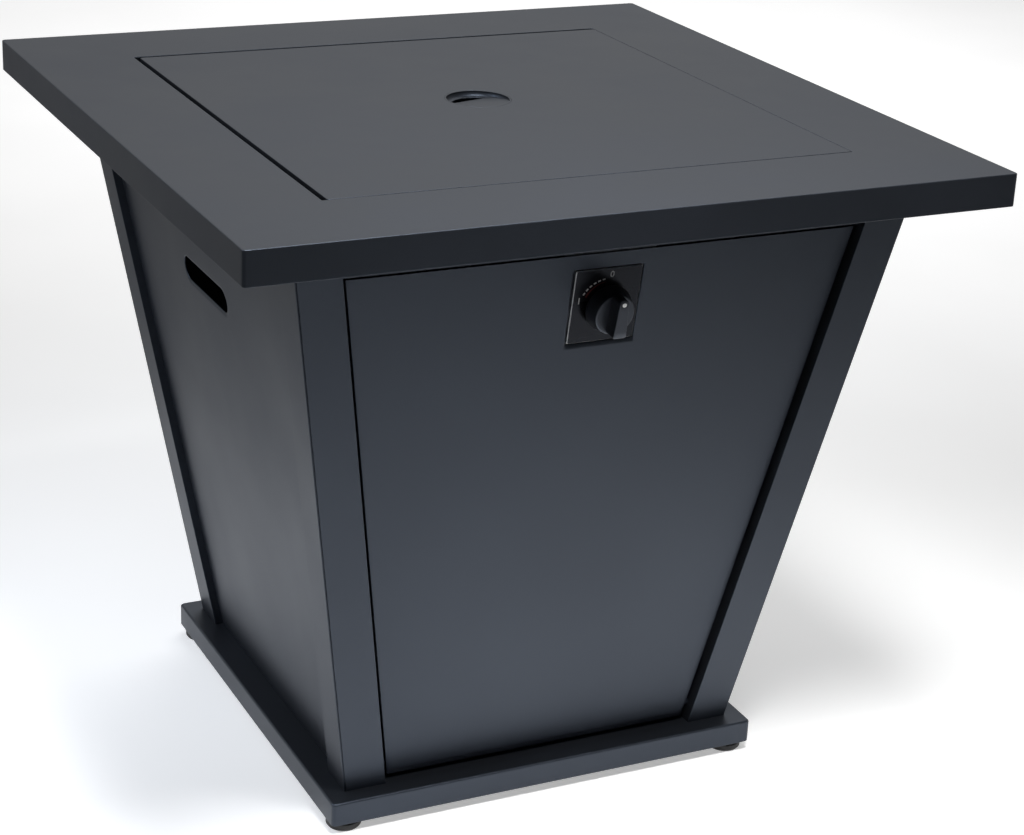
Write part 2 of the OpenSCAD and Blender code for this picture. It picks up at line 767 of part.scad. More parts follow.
module pipe_nuts()
    color(brass) {
        translate([outlet_x, valve_y, valve_z]) flare_nut();
        translate([elbow_x, 0, valve_z]) flare_nut();
    }

// Body

// Leaning square column at the rear right corner
module column(d0, d1, z0, z1)
    intersection() {
        wall_strip(d0, d1, z0, z1);
        rotate([0, 0, 90]) wall_strip(d0, d1, z0, z1);
    }

module post(turn)
    color(powder_coat) difference() {
        rotate([0, 0, 90 * turn]) difference() {
            column(0, post_w, base_top_z, rail_top_z);
            column(post_wall, post_w - post_wall, base_top_z + post_foot, rail_top_z + cut_over);
            translate([post_u, post_u, 0]) bar(bolt_r + screw_fit, base_top_z - cut_over,
                base_top_z + post_foot + cut_over);
        }
        pivot_bar(pin_d / 2 + run_fit, top_w / 2);
    }

module front_left_post() post(2);
module front_right_post() post(3);
module rear_left_post() post(1);
module rear_right_post() post(0);

// An angle rail between two posts: a leaning leg and a flange under the top
module rail(side, depth)
    color(powder_coat) at_side(side) difference() {
        intersection() {
            union() {
                wall_strip(depth, depth + rail_sheet, rail_bottom_z, rail_top_z);
                translate([flange_inner, -top_w / 2, rail_top_z - rail_sheet])
                    cube([half_w(rail_top_z - rail_sheet) - depth - flange_inner - rail_sheet / 2,
                        top_w, rail_sheet]);
            }
            between(post_w, rail_bottom_z, rail_top_z);
        }
        for (u = [-bolt_u, bolt_u])
            translate([bolt_line, u, 0])
                bar(bolt_r + seat_fit, rail_top_z - rail_sheet - cut_over, rail_top_z + cut_over);
        if (side == FRONT)
            for (u = [-bracket_w / 3, bracket_w / 3])
                on_wall(control_screw_z, depth, u)
                    bar(screw_r + screw_fit, bracket_face - cut_over, bracket_face / 2);
        else
            panel_screw_places() bar(screw_r + screw_fit, -return_w, cut_over);
    }

module front_rail() rail(FRONT, panel_recess);
module left_rail() rail(LEFT, rail_depth);
module right_rail() rail(RIGHT, rail_depth);
module rear_rail() rail(REAR, rail_depth);

// Screws through a panel into its rail, and through its foot flange into the plinth
panel_screw_z = (fascia_z + panel_top_z) / 2;
foot_screw_d = 10.8;

module panel_screw_places()
    for (u = [-screw_u, screw_u])
        on_wall(panel_screw_z, panel_recess, u) children();

module panel_foot_places()
    for (u = [-screw_u, screw_u])
        translate([half_w(base_top_z) - panel_recess - foot_screw_d, u, base_top_z]) children();

module panel(side)
    color(powder_coat) at_side(side) difference() {
        union() {
            slab(panel_recess, panel_recess + panel_sheet, post_w + seat_fit, base_top_z, panel_top_z);
            slab(panel_recess, panel_recess + return_w, post_w + seat_fit, base_top_z, return_top_z);
        }
        slab(panel_recess + panel_sheet, panel_recess + return_w + cut_over,
            post_w + seat_fit + panel_sheet, base_top_z + panel_sheet, return_top_z + cut_over);
        if (side != REAR)
            on_wall(slot_z, panel_recess) hand_slot();
        panel_screw_places() bar(screw_r + seat_fit, -2 * panel_sheet, cut_over);
        panel_foot_places() bar(screw_r + seat_fit, -cut_over, panel_sheet + cut_over);
    }

// Cutter for a slot with round ends
module hand_slot() {
    half = (slot_w - slot_h) / 2;
    cube([slot_h, 2 * half, 4 * panel_sheet], center = true);
    for (u = [-half, half])
        translate([0, u, 0]) cylinder(r = slot_h / 2, h = 4 * panel_sheet, center = true);
}

module left_panel() panel(LEFT);
module right_panel() panel(RIGHT);
module rear_panel() panel(REAR);

module panel_screws()
    color(steel) for (side = [RIGHT, REAR, LEFT])
        at_side(side) {
            panel_screw_places() {
                bar(screw_head_r, 0, screw_head_h);
                bar(screw_r, -(panel_sheet + rail_sheet) * cos(lean) - spare, screw_fit);
            }
            panel_foot_places() {
                bar(screw_head_r, panel_sheet, panel_sheet + screw_head_h);
                bar(screw_r, -base_sheet - spare, panel_sheet + screw_fit);
            }
        }

// Front door

// A bar along the door's pivot line, out to a distance on both sides
module pivot_bar(r, reach)
    at_side(FRONT) translate([half_w(pivot_z) - pivot_depth, 0, pivot_z])
        rotate([90, 0, 0]) cylinder(r = r, h = 2 * reach, center = true);

pin_grip = 6;
pin_reach = 3;
pin_in = half_w(pivot_z) - post_w - door_gap - pin_grip;
pin_out = half_w(pivot_z) - post_w + post_wall + pin_reach;

module front_door()
    color(powder_coat) difference() {
        at_side(FRONT) difference() {
            slab(panel_recess, panel_recess + door_return, post_w + door_gap, door_bottom_z, door_top_z);
            slab(panel_recess + panel_sheet, panel_recess + door_return + cut_over,
                post_w + door_gap + panel_sheet, door_bottom_z - cut_over, door_top_z + cut_over);
            on_wall(control_z, panel_recess)
                cube([plate_h + 2 * plate_gap, plate_w + 2 * plate_gap, 4 * panel_sheet], center = true);
        }
        pivot_bar(pin_d / 2 + screw_fit, top_w / 2);
    }

module door_pins()
    color(steel) difference() {
        pivot_bar(pin_d / 2, pin_out);
        pivot_bar(pin_d, pin_in);
    }

strike_w = 40;
strike_h = 16;
strike_t = 1.5;
strike_back = panel_recess + panel_sheet + strike_t;
catch_t = 14;

module strike_plates()
    color(steel) at_side(FRONT) for (u = [-catch_u, catch_u])
        tile(panel_recess + panel_sheet, strike_back, u - strike_w / 2, u + strike_w / 2,
            door_top_z - strike_h - 2 * spare, door_top_z - 2 * spare);

module magnet_catches()
    color(black_plastic) at_side(FRONT) for (u = [-catch_u, catch_u]) {
        tile(panel_recess + rail_sheet, strike_back + catch_t, u - strike_w / 2, u + strike_w / 2,
            rail_bottom_z, rail_bottom_z + strike_h);
        tile(strike_back + catch_fit, strike_back + catch_t, u - strike_w / 2, u + strike_w / 2,
            rail_bottom_z - strike_h, rail_bottom_z);
    }

// Base

corner_margin = 8;
foot_chamfer = 1.5;
foot_shoulder = 5;
foot_shoulder_h = 2;
foot_tread_h = 3;
foot_nut_wall = 3.5;
foot_nut_h = 6.5;
bolt_end = 5;

module foot_places()
    for (x = [-foot_u, foot_u], y = [-foot_u, foot_u])
        translate([x, y, 0]) children();

module base_tray() {
    plate = foot_inset + foot_d / 2 + corner_margin;
    at = base_w / 2 - base_sheet - plate / 2;
    color(powder_coat) difference() {
        union() {
            difference() {
                square_block(base_w, foot_h, base_h);
                square_block(base_w - 2 * base_sheet, foot_h - cut_over, base_h - base_sheet + cut_over);
            }
            for (x = [-at, at], y = [-at, at])
                translate([x, y, foot_h + corner_plate / 2])
                    cube([plate + base_sheet, plate + base_sheet, corner_plate], center = true);
        }
        bar(vent_d / 2, foot_h, base_top_z + cut_over);
        foot_places() bar(stud_d / 2 + run_fit, foot_h - cut_over, foot_h + corner_plate + cut_over);
        for (x = [-post_u, post_u], y = [-post_u, post_u])
            translate([x, y, 0])
                bar(bolt_r + seat_fit, base_top_z - base_sheet - cut_over, base_top_z + cut_over);
        for (side = [RIGHT, REAR, LEFT])
            at_side(side) panel_foot_places()
                bar(screw_r + screw_fit, -base_sheet - cut_over, cut_over);
    }
}

// A round pad on a threaded stud
module foot(x, y)
    color(black_plastic) translate([x * foot_u, y * foot_u, 0]) {
        bar(foot_d / 2 - foot_chamfer, 0, foot_tread_h);
        bar(foot_d / 2, foot_tread_h, foot_h - foot_shoulder_h);
        bar(foot_d / 2 - foot_shoulder, foot_h - foot_shoulder_h, foot_h);
        bar(stud_d / 2, foot_h - spare, foot_h + stud_l);
    }

module front_left_foot() foot(-1, -1);
module front_right_foot() foot(1, -1);
module rear_left_foot() foot(-1, 1);
module rear_right_foot() foot(1, 1);

module foot_nuts()
    color(steel) foot_places() difference() {
        hexagon(stud_d / 2 + foot_nut_wall, foot_h + corner_plate, foot_h + corner_plate + foot_nut_h);
        bar(stud_d / 2 + run_fit, foot_h + corner_plate - cut_over,
            foot_h + corner_plate + foot_nut_h + cut_over);
    }

module post_bolts()
    color(steel) for (x = [-post_u, post_u], y = [-post_u, post_u])
        translate([x, y, 0]) {
            hexagon(bolt_head_r, base_top_z - base_sheet - bolt_head_h, base_top_z - base_sheet);
            bar(bolt_r, base_top_z - base_sheet - screw_fit, base_top_z + post_foot + bolt_end);
        }

ring_r = ring_d / 2;
clamp_z = base_top_z + ring_h / 2;
clamp_boss_l = 10;
clamp_boss_wall = 4;
clamp_head_r = 11;
clamp_head_l = 10;

// A bar along the clamping screw's line, between two distances in front of the centre
module clamp_bar(r, near, far)
    translate([0, -far, clamp_z]) rotate([-90, 0, 0]) cylinder(r = r, h = far - near);

module tank_ring()
    color(dark_coat) difference() {
        union() {
            bar(ring_r + ring_wall, base_top_z, base_top_z + ring_h);
            clamp_bar(clamp_d / 2 + clamp_boss_wall, ring_r, ring_r + ring_wall + clamp_boss_l);
        }
        bar(ring_r, base_top_z - cut_over, base_top_z + ring_h + cut_over);
        clamp_bar(clamp_d / 2 + run_fit, ring_r - ring_wall, ring_r + ring_wall + clamp_boss_l + cut_over);
    }

module tank_screw()
    color(steel) union() {
        clamp_bar(clamp_d / 2, ring_r + spare, clamp_reach + spare);
        clamp_bar(clamp_head_r, clamp_reach, clamp_reach + clamp_head_l);
    }

table_top();
lid();
lid_finger_cup();
fire_bowl();
burner_ring();
burner_rests();
burner_locknut();
burner_elbow();
lava_rocks();
gas_valve();
valve_plunger();
valve_stem();
valve_nut();
control_knob();
knob_marker();
control_plate();
control_bracket();
control_screws();
feed_pipe();
pipe_nuts();
igniter_electrode();
igniter_bracket();
igniter_lead();
front_left_post();
front_right_post();
rear_left_post();
rear_right_post();
front_rail();
left_rail();
right_rail();
rear_rail();
left_panel();
right_panel();
rear_panel();
front_door();
door_pins();
strike_plates();
magnet_catches();
base_tray();
front_left_foot();
front_right_foot();
rear_left_foot();
rear_right_foot();
foot_nuts();
post_bolts();
panel_screws();
top_bolts();
tank_ring();
tank_screw();
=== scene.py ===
"""Looks of a square gas fire pit table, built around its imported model.

Sizes are in metres. Z is up, the floor is at zero and the door faces -Y.
"""

import json
import logging
from dataclasses import dataclass, field
from enum import Enum
from typing import Optional, Sequence, Union

import bmesh
import bpy
import numpy as np
from mathutils import Matrix, Vector


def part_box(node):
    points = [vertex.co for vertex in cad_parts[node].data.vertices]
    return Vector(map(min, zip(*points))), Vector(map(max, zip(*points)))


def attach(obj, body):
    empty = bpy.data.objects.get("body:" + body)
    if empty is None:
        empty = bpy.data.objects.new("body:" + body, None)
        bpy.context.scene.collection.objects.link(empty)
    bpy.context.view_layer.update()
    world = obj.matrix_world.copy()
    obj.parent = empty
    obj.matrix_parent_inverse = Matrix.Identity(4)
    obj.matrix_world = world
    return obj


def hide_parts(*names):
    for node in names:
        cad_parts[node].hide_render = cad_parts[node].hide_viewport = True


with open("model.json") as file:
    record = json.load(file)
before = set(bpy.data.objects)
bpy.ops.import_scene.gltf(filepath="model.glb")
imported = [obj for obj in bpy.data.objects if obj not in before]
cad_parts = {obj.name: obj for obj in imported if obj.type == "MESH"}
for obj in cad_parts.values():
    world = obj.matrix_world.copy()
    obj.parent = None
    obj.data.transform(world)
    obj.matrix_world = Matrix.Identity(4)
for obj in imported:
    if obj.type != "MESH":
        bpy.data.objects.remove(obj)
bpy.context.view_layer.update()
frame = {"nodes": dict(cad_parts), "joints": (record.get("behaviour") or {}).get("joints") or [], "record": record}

LOG = logging.getLogger("fire_pit_table")
MM = 0.001
MERGE_DISTANCE = 1e-6
FLAT_DEG = 0.5
CREASE_DEG = 32.0
ALL_SMOOTH_DEG = 180
BEVEL_FROM_DEG = 40
WHITE = "#ffffff"
# Values of a noise pattern between which the patches' colours and the gloss run
PATCH_SPREAD = (0.32, 0.68)
GLOSS_SPREAD = (0.3, 0.7)
# Radii of edges, from hair-fine to soft, and distances of the support points beside them
HAIR, FINE, SLIGHT, BROKEN, EASED, SOFT = 0.1 * MM, 0.2 * MM, 0.3 * MM, 0.4 * MM, 0.5 * MM, 0.8 * MM
# Shares of a square's half side on the rays at every sixth degree, for sheets with a round hole
RAYS = np.tan(np.radians(np.arange(-42, 43, 6)))
Array = np.ndarray
Link = Union[float, Sequence[float], bpy.types.NodeSocket]


class Body(Enum):
    """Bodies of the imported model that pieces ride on."""

    FRAME = "frame"
    LID = "lid"
    DOOR = "door"
    PLUNGER = "plunger"
    KNOB = "knob"
    CLAMP = "clamp"
    FRONT_LEFT_LEVELLER = "front_left_leveller"
    FRONT_RIGHT_LEVELLER = "front_right_leveller"
    REAR_LEFT_LEVELLER = "rear_left_leveller"
    REAR_RIGHT_LEVELLER = "rear_right_leveller"


class Slot(Enum):
    """Material slots of the record."""

    COAT = "charcoal_coat"
    BOWL = "bowl_coat"
    STAINLESS = "stainless"
    ZINC = "zinc"
    BRASS = "brass"
    PLASTIC = "black_plastic"
    WHITE = "marker_white"
    PLATE = "control_black"
    LAVA = "lava"
    PORCELAIN = "porcelain"
    SLEEVE = "lead_sleeve"


class Side(Enum):
    """Sides of the body, as quarter turns from the right-hand side."""

    RIGHT = 0
    REAR = 1
    LEFT = 2
    FRONT = 3

    def turn(self, points: Array) -> Array:
        """Turns points that were worked out on the right-hand side to this side.

        Args:
            points: Points, with x, y and z on the last axis.

        Returns:
            The points after this many quarter turns about the upright axis.
        """
        return spun(points, *((1, 0), (0, 1), (-1, 0), (0, -1))[self.value])


# Colours, nodes and finishes


def to_linear(colour: str) -> tuple[float, float, float, float]:
    """Turns an sRGB hex colour into the linear values that shaders use.

    Args:
        colour: A colour such as "#26282d".

    Returns:
        Linear red, green and blue, and an alpha of one.
    """
    srgb = np.array([int(colour[i:i + 2], 16) for i in (1, 3, 5)]) / 255
    linear = np.where(srgb <= 0.04045, srgb / 12.92, ((srgb + 0.055) / 1.055) ** 2.4)
    return (*linear.tolist(), 1.0)


def add_node(tree: bpy.types.NodeTree, kind: str, inputs: Optional[dict[Union[int, str], Link]] = None,
             stops: Sequence[tuple[float, str]] = (), **settings: object) -> bpy.types.Node:
    """Adds a shader node with its settings and links.

    Args:
        tree: The material's or the world's node tree.
        kind: Blender's name of the node, without the leading ShaderNode.
        inputs: Values, or the sockets to link, by the input's name or number.
        stops: Places and hex colours of a colour ramp.
        settings: Properties of the node.

    Returns:
        The new node.
    """
    node = tree.nodes.new("ShaderNode" + kind)
    for name, value in settings.items():
        setattr(node, name, value)
    for name, value in (inputs or {}).items():
        if isinstance(value, bpy.types.NodeSocket):
            tree.links.new(value, node.inputs[name])
        else:
            node.inputs[name].default_value = value
    for index, (place, colour) in enumerate(stops):
        elements = node.color_ramp.elements
        stop = elements[index] if index < 2 else elements.new(place)
        stop.position = place
        stop.color = to_linear(colour)
    return node


@dataclass(frozen=True)
class Finish:
    """A finish with a mottled colour, an uneven gloss and a fine relief.

    Attributes:
        name: What the material is and how its surface was made.
        dark: Colour in the darker patches.
        light: Colour in the lighter patches.
        patch_mm: Size of the patches.
        gloss: Lowest and highest roughness.
        relief_mm: Size of the relief's grains.
        relief_height_mm: Height of the relief.
        metallic: One for a bare metal.
        specular: Strength of the clear reflection.
        tint: Colour of the clear reflection seen head on.
        stretch: Stretches the pattern along each axis.
    """

    name: str
    dark: str
    light: str
    patch_mm: float
    gloss: tuple[float, float]
    relief_mm: float
    relief_height_mm: float
    metallic: float = 0.0
    specular: float = 0.5
    tint: str = WHITE
    stretch: tuple[float, float, float] = (1.0, 1.0, 1.0)

    def material(self) -> bpy.types.Material:
        """Makes the material once and returns it.

        Returns:
            The material with this finish's name.
        """
        made = bpy.data.materials.get(self.name)
        if made:
            return made
        made = bpy.data.materials.new(self.name)
        made.use_nodes = True
        tree = made.node_tree
        shader = tree.nodes["Principled BSDF"]
        shader.inputs["Metallic"].default_value = self.metallic
        shader.inputs["Specular IOR Level"].default_value = self.specular
        shader.inputs["Specular Tint"].default_value = to_linear(self.tint)
        place = add_node(tree, "TexCoord").outputs["Object"]
        where = add_node(tree, "Mapping", {"Vector": place, "Scale": self.stretch}).outputs["Vector"]
        self.dress(tree, shader, where)
        return made

    def dress(self, tree: bpy.types.NodeTree, shader: bpy.types.Node,
              where: bpy.types.NodeSocket) -> None:
        """Links patches to the colour and the gloss, and grains to the relief.

        Args:
            tree: The material's node tree.
            shader: The shader to dress.
            where: Object coordinates, stretched along the grain.
        """
        patches = add_node(tree, "TexNoise", {
            "Vector": where, "Scale": 1 / (self.patch_mm * MM), "Detail": 3.0}).outputs["Fac"]
        colour = add_node(tree, "ValToRGB", {"Fac": patches},
                          stops=tuple(zip(PATCH_SPREAD, (self.dark, self.light))))
        gloss = add_node(tree, "MapRange", {
            "Value": patches, "From Min": GLOSS_SPREAD[0], "From Max": GLOSS_SPREAD[1],
            "To Min": self.gloss[0], "To Max": self.gloss[1]})
        grains = add_node(tree, "TexNoise", {
            "Vector": where, "Scale": 1 / (self.relief_mm * MM), "Detail": 1.0}).outputs["Fac"]
        bump = add_node(tree, "Bump", {"Height": grains, "Distance": self.relief_height_mm * MM})
        tree.links.new(colour.outputs["Color"], shader.inputs["Base Color"])
        tree.links.new(gloss.outputs["Result"], shader.inputs["Roughness"])
        tree.links.new(bump.outputs["Normal"], shader.inputs["Normal"])


@dataclass(frozen=True)
class LavaStone(Finish):
    """Broken lava rock, whose gas bubbles leave open pits.

    Attributes:
        pit_mm: Width of a pit.
        pit_depth_mm: Depth of a pit.
    """

    pit_mm: float = 3.5
    pit_depth_mm: float = 1.4

    def dress(self, tree: bpy.types.NodeTree, shader: bpy.types.Node,
              where: bpy.types.NodeSocket) -> None:
        """Adds pits under the grains, as deep as the nearest bubble's middle is near.

        Args:
            tree: The material's node tree.
            shader: The shader to dress.
            where: Object coordinates.
        """
        super().dress(tree, shader, where)
        pits = add_node(tree, "TexVoronoi", {"Vector": where, "Scale": 1 / (self.pit_mm * MM)})
        grains = shader.inputs["Normal"].links[0].from_socket
        bump = add_node(tree, "Bump", {
            "Height": pits.outputs["Distance"], "Distance": self.pit_depth_mm * MM, "Normal": grains})
        tree.links.new(bump.outputs["Normal"], shader.inputs["Normal"])


# Satin powder coat, sprayed and baked on sheet steel: one even dark grey with a soft sheen. The
# orange peel of the baked film is under a millimetre, and is drawn coarser so that it can show.
COAT = Finish("charcoal_powder_coat_baked", "#121315", "#151619", 140.0, (0.42, 0.48), 2.2, 0.006,
              specular=0.7, tint="#d3e4ff")
# Heat-resistant silicone paint on the pressed bowl: dull, with faint scale from the heat.
BOWL_COAT = Finish("heat_resistant_paint_matt", "#17171a", "#232224", 60.0, (0.6, 0.8), 1.6, 0.03)
# Stainless tube, brushed round its length: bright, with fine streaks.
STAINLESS = Finish("stainless_steel_brushed", "#8d8c8b", "#b0afad", 9.0, (0.24, 0.38), 1.0, 0.01,
                   metallic=1.0, stretch=(1.0, 1.0, 6.0))
# Zinc electroplate on steel: grey with a cloudy bluish bloom.
ZINC = Finish("zinc_plated_steel", "#8b9096", "#adb1b4", 7.0, (0.3, 0.45), 0.8, 0.01, metallic=1.0)
# Brass turned from bar: warm, with the lathe's faint rings.
BRASS = Finish("brass_turned", "#8f7238", "#b8954f", 8.0, (0.24, 0.4), 0.7, 0.012, metallic=1.0)
# Black ABS moulded in a fine-grained tool: near black with a broad soft sheen.
PLASTIC = Finish("black_abs_moulded_grained", "#0c0c0e", "#111214", 18.0, (0.3, 0.38), 0.9, 0.02,
                 specular=0.8, tint="#dfeaff")
# Rubbery polypropylene of the feet: dull black, scuffed paler.
FOOT_PLASTIC = Finish("black_polypropylene_moulded", "#0c0c0d", "#161617", 10.0, (0.5, 0.65), 1.0, 0.02)
# White paint wiped into a recess: slightly uneven.
WHITE_PAINT = Finish("white_paint_filled", "#f2f2f0", "#fdfdfc", 1.2, (0.4, 0.5), 0.5, 0.01)
# Screen-printed inks on the plate: thin and flat.
WHITE_INK = Finish("white_ink_screen_printed", "#c4c5c6", "#dedfe0", 1.4, (0.4, 0.5), 0.6, 0.005)
RED_INK = Finish("red_ink_screen_printed", "#4a1518", "#66201f", 2.0, (0.4, 0.5), 0.6, 0.005)
# Glazed steatite of the spark insulator: creamy and wet-looking.
PORCELAIN = Finish("porcelain_glazed", "#dcd6c8", "#ebe6da", 6.0, (0.1, 0.16), 2.0, 0.01)
# Silicone sleeve over glass braid: soft red-brown with the braid's rib just showing.
SLEEVE = Finish("silicone_sleeve_extruded", "#7a2a1c", "#923626", 5.0, (0.45, 0.55), 1.2, 0.05)
# Black enamel on the control plate: deep and clear, with hair-fine wiping marks.
ENAMEL = Finish("black_enamel_satin", "#08080a", "#0d0d10", 24.0, (0.24, 0.32), 1.4, 0.004,
                specular=0.3, tint="#e4ecff", stretch=(0.3, 1.0, 1.0))
# Aluminium where the plate's edge was milled through the enamel: a thin bright line.
CUT_EDGE = Finish("aluminium_milled_edge", "#8f9194", "#a9abad", 5.0, (0.3, 0.42), 0.8, 0.01,
                  metallic=1.0)
# Lava rock, broken and tumbled: dark red-brown to black.
LAVA = LavaStone("lava_rock_tumbled", "#1d1716", "#463630", 14.0, (0.85, 0.95), 1.5, 0.5)
# White floor paint, rolled on: dull, with a faint broad mottle.
FLOOR_PAINT = Finish("white_floor_paint_rolled", "#eeeeee", "#f4f4f4", 400.0, (0.85, 0.95), 3.0, 0.01,
                     specular=0.1)


# Surfaces


def unit(vectors: Array) -> Array:
    """Brings vectors to a length of one."""
    return vectors / np.linalg.norm(vectors, axis=-1, keepdims=True)


def spun(points: Array, cos: float, sin: float) -> Array:
    """Turns points about the upright axis by the angle with this cosine and sine."""
    x, y, z = np.moveaxis(points, -1, 0)
    return np.stack([cos * x - sin * y, sin * x + cos * y, z], axis=-1)


def mesh_points(mesh: bpy.types.Mesh) -> Array:
    """Reads a mesh's points.

    Args:
        mesh: The mesh.

    Returns:
        The points, shape (count, 3).
    """
    points = np.empty(len(mesh.vertices) * 3)
    mesh.vertices.foreach_get("co", points)
    return points.reshape(-1, 3)


def rounded(corners: Sequence[tuple[float, float, float]], closed: bool = False, steps: int = 4,
            support: float = 1.2 * MM) -> Array:
    """Works out an outline whose corners are arcs.

    The arc of a corner with radius r has its ends r / tan(half the corner's angle) from the corner,
    and its middle r / sin(half the angle) from it, on the line that halves the angle. A support
    point on each side keeps the flats next to it flat.

    Args:
        corners: Two coordinates and a radius for each corner.
        closed: Whether the last corner leads back to the first.
        steps: Steps along each arc.
        support: How far the support points lie from the arc.

    Returns:
        The outline's points, shape (count, 2).
    """
    spots = np.array([c[:2] for c in corners])
    points = []
    for index, (x, y, radius) in enumerate(corners):
        spot = np.array([x, y])
        inner = closed or 0 < index < len(corners) - 1
        if radius <= 0 or not inner:
            points.append(spot[None])
            continue
        before = spots[index - 1] - spot
        after = spots[(index + 1) % len(corners)] - spot
        before_length, after_length = np.linalg.norm(before), np.linalg.norm(after)
        before, after = before / before_length, after / after_length
        half = np.arccos(np.clip(before @ after, -1, 1)) / 2
        reach = radius / np.tan(half)
        middle = spot + unit(before + after) * radius / np.sin(half)
        start, end = spot + before * reach - middle, spot + after * reach - middle
        sweep = np.pi - 2 * half
        share = np.linspace(0, 1, steps + 1)[:, None]
        arc = (np.sin((1 - share) * sweep) * start + np.sin(share * sweep) * end) / np.sin(sweep)
        lead_in = spot + before * min(reach + support, before_length / 2)
        lead_out = spot + after * min(reach + support, after_length / 2)
        points += [lead_in[None], middle + arc, lead_out[None]]
    return np.vstack(points)


def square_rings(half: Array, radius: Array, height: Array, steps: int = 5,
                 along: Sequence[float] = (-0.985, 0.985)) -> Array:
    """Works out a stack of rounded rectangles, one ring of points for each height.

    A ring's point is its corner's middle, half minus radius along both axes, plus radius times the
    arc's direction. Points along a side weight the corner's middle by their share of the side.

    Args:
        half: Half widths of each ring, shape (rings,), (rings, 1) or (rings, 2).
        radius: Corner radius of each ring.
        height: Height of each ring.
        steps: Steps along each corner's arc.
        along: Shares of the half side where a side has points.

    Returns:
        The rings, shape (rings, points, 3).
    """
    half, radius, height = (np.asarray(v, float) for v in (half, radius, height))
    half = half.reshape(len(half), -1)
    turn = np.linspace(0, np.pi / 2, steps + 1)
    side = np.asarray(along)
    weight = np.vstack([np.column_stack([np.ones_like(side), side]), np.ones((turn.size, 2))])
    bow = np.column_stack([np.cos(turn), np.sin(turn)])
    arc = np.vstack([np.tile([1.0, 0.0], (side.size, 1)), bow])
    weights, arcs = [weight], [arc]
    for _ in range(3):
        weights.append(np.column_stack([-weights[-1][:, 1], weights[-1][:, 0]]))
        arcs.append(np.column_stack([-arcs[-1][:, 1], arcs[-1][:, 0]]))
    weight, arc = np.vstack(weights), np.vstack(arcs)
    radius = radius[:, None, None]
    flat = weight * (half[:, None] - radius) + arc * radius
    return np.dstack([flat, np.broadcast_to(height[:, None], flat.shape[:2])])


def holed(hole: Array, rim: Array, corner: float, along: Sequence[float] = RAYS) -> Array:
    """Works out a rectangular sheet with a round hole, as one stack of rings.

    The hole's rings are circles, whose points lie on the same rays as those of the widest of the
    rim's rounded rectangles.

    Args:
        hole: Radius and height of each point of the section at the hole.
        rim: One or two half widths and the height of each point of the rest of the section.
        corner: Corner radius of the rectangles.
        along: Shares of the half side where a side has points.

    Returns:
        The rings, shape (rings, points, 3).
    """
    widths = np.repeat(hole[:, :1], rim.shape[1] - 1, axis=1)
    section = np.vstack([np.column_stack([widths, hole[:, 1]]), rim])
    rings = square_rings(section[:, :-1], np.full(len(section), corner), section[:, -1], along=along)
    widest = rings[np.abs(rings[:, 0, 0]).argmax()]
    rings[:len(hole), :, :2] = hole[:, :1, None] * unit(widest[:, :2])
    return rings


def turned(profile: Array, count: int = 64) -> Array:
    """Turns a profile about the upright axis.

    Args:
        profile: Radius and height of each point, shape (points, 2).
        count: Points round each ring.

    Returns:
        The surface's grid, shape (points, count, 3).
    """
    angle = np.arange(count) * 2 * np.pi / count
    radius, height = profile[:, 0, None], profile[:, 1, None]
    return np.dstack([radius * np.cos(angle), radius * np.sin(angle), height + 0 * angle])


def tube(path: Array, radius: float, count: int = 16) -> Array:
    """Carries a circle along a path.

    The circle's first direction is the way crossed with a fixed side direction, and its second is
    the way crossed with the first.

    Args:
        path: Points along the tube's middle.
        radius: The tube's radius.
        count: Points round the tube.

    Returns:
        The surface's grid, with both ends closed to a point.
    """
    way = unit(np.gradient(path, axis=0))
    first = unit(np.cross(way, [1.0, 0.0, 0.0]))
    second = np.cross(way, first)
    angle = (np.arange(count) * 2 * np.pi / count)[None, :, None]
    round_way = np.cos(angle) * first[:, None] + np.sin(angle) * second[:, None]
    wall = path[:, None] + radius * round_way
    ends = [np.repeat(path[i][None, None], count, axis=1) for i in (0, -1)]
    return np.concatenate([ends[0], wall, ends[1]])


class Shell:
    """Collects grid surfaces and welds them into one mesh."""

    def __init__(self) -> None:
        """Starts with no surface."""
        self.points: list[Array] = []
        self.faces: list[Array] = []
        self.count = 0

    def add(self, grid: Array, wrap: bool = True, close: bool = False) -> "Shell":
        """Adds a grid of points as four-sided faces.

        Args:
            grid: Points, shape (rows, columns, 3).
            wrap: Joins the last column to the first.
            close: Joins the last row to the first.

        Returns:
            This shell.
        """
        rows, columns = grid.shape[:2]
        index = np.arange(rows * columns).reshape(rows, columns) + self.count
        index = np.vstack([index, index[:1]]) if close else index
        index = np.hstack([index, index[:, :1]]) if wrap else index
        faces = np.stack([index[:-1, :-1], index[:-1, 1:], index[1:, 1:], index[1:, :-1]], axis=-1)
        self.points.append(grid.reshape(-1, 3))
        self.faces.append(faces.reshape(-1, 4))
        self.count += rows * columns
        return self

    def piece(self, name: str, outward: Optional[Sequence[float]] = None,
              crease_deg: float = CREASE_DEG) -> bpy.types.Object:
        """Welds the surfaces and makes them an object at the origin.

        Args:
            name: The piece's name.
            outward: The way an open sheet's outer face looks. A closed shell needs none.
            crease_deg: Edges that turn further than this stay sharp.

        Returns:
            The new object.
        """
        mesh = bpy.data.meshes.new(name)
        mesh.from_pydata(np.vstack(self.points).tolist(), [], np.vstack(self.faces).tolist())
        return weld(mesh, name, outward, crease_deg)


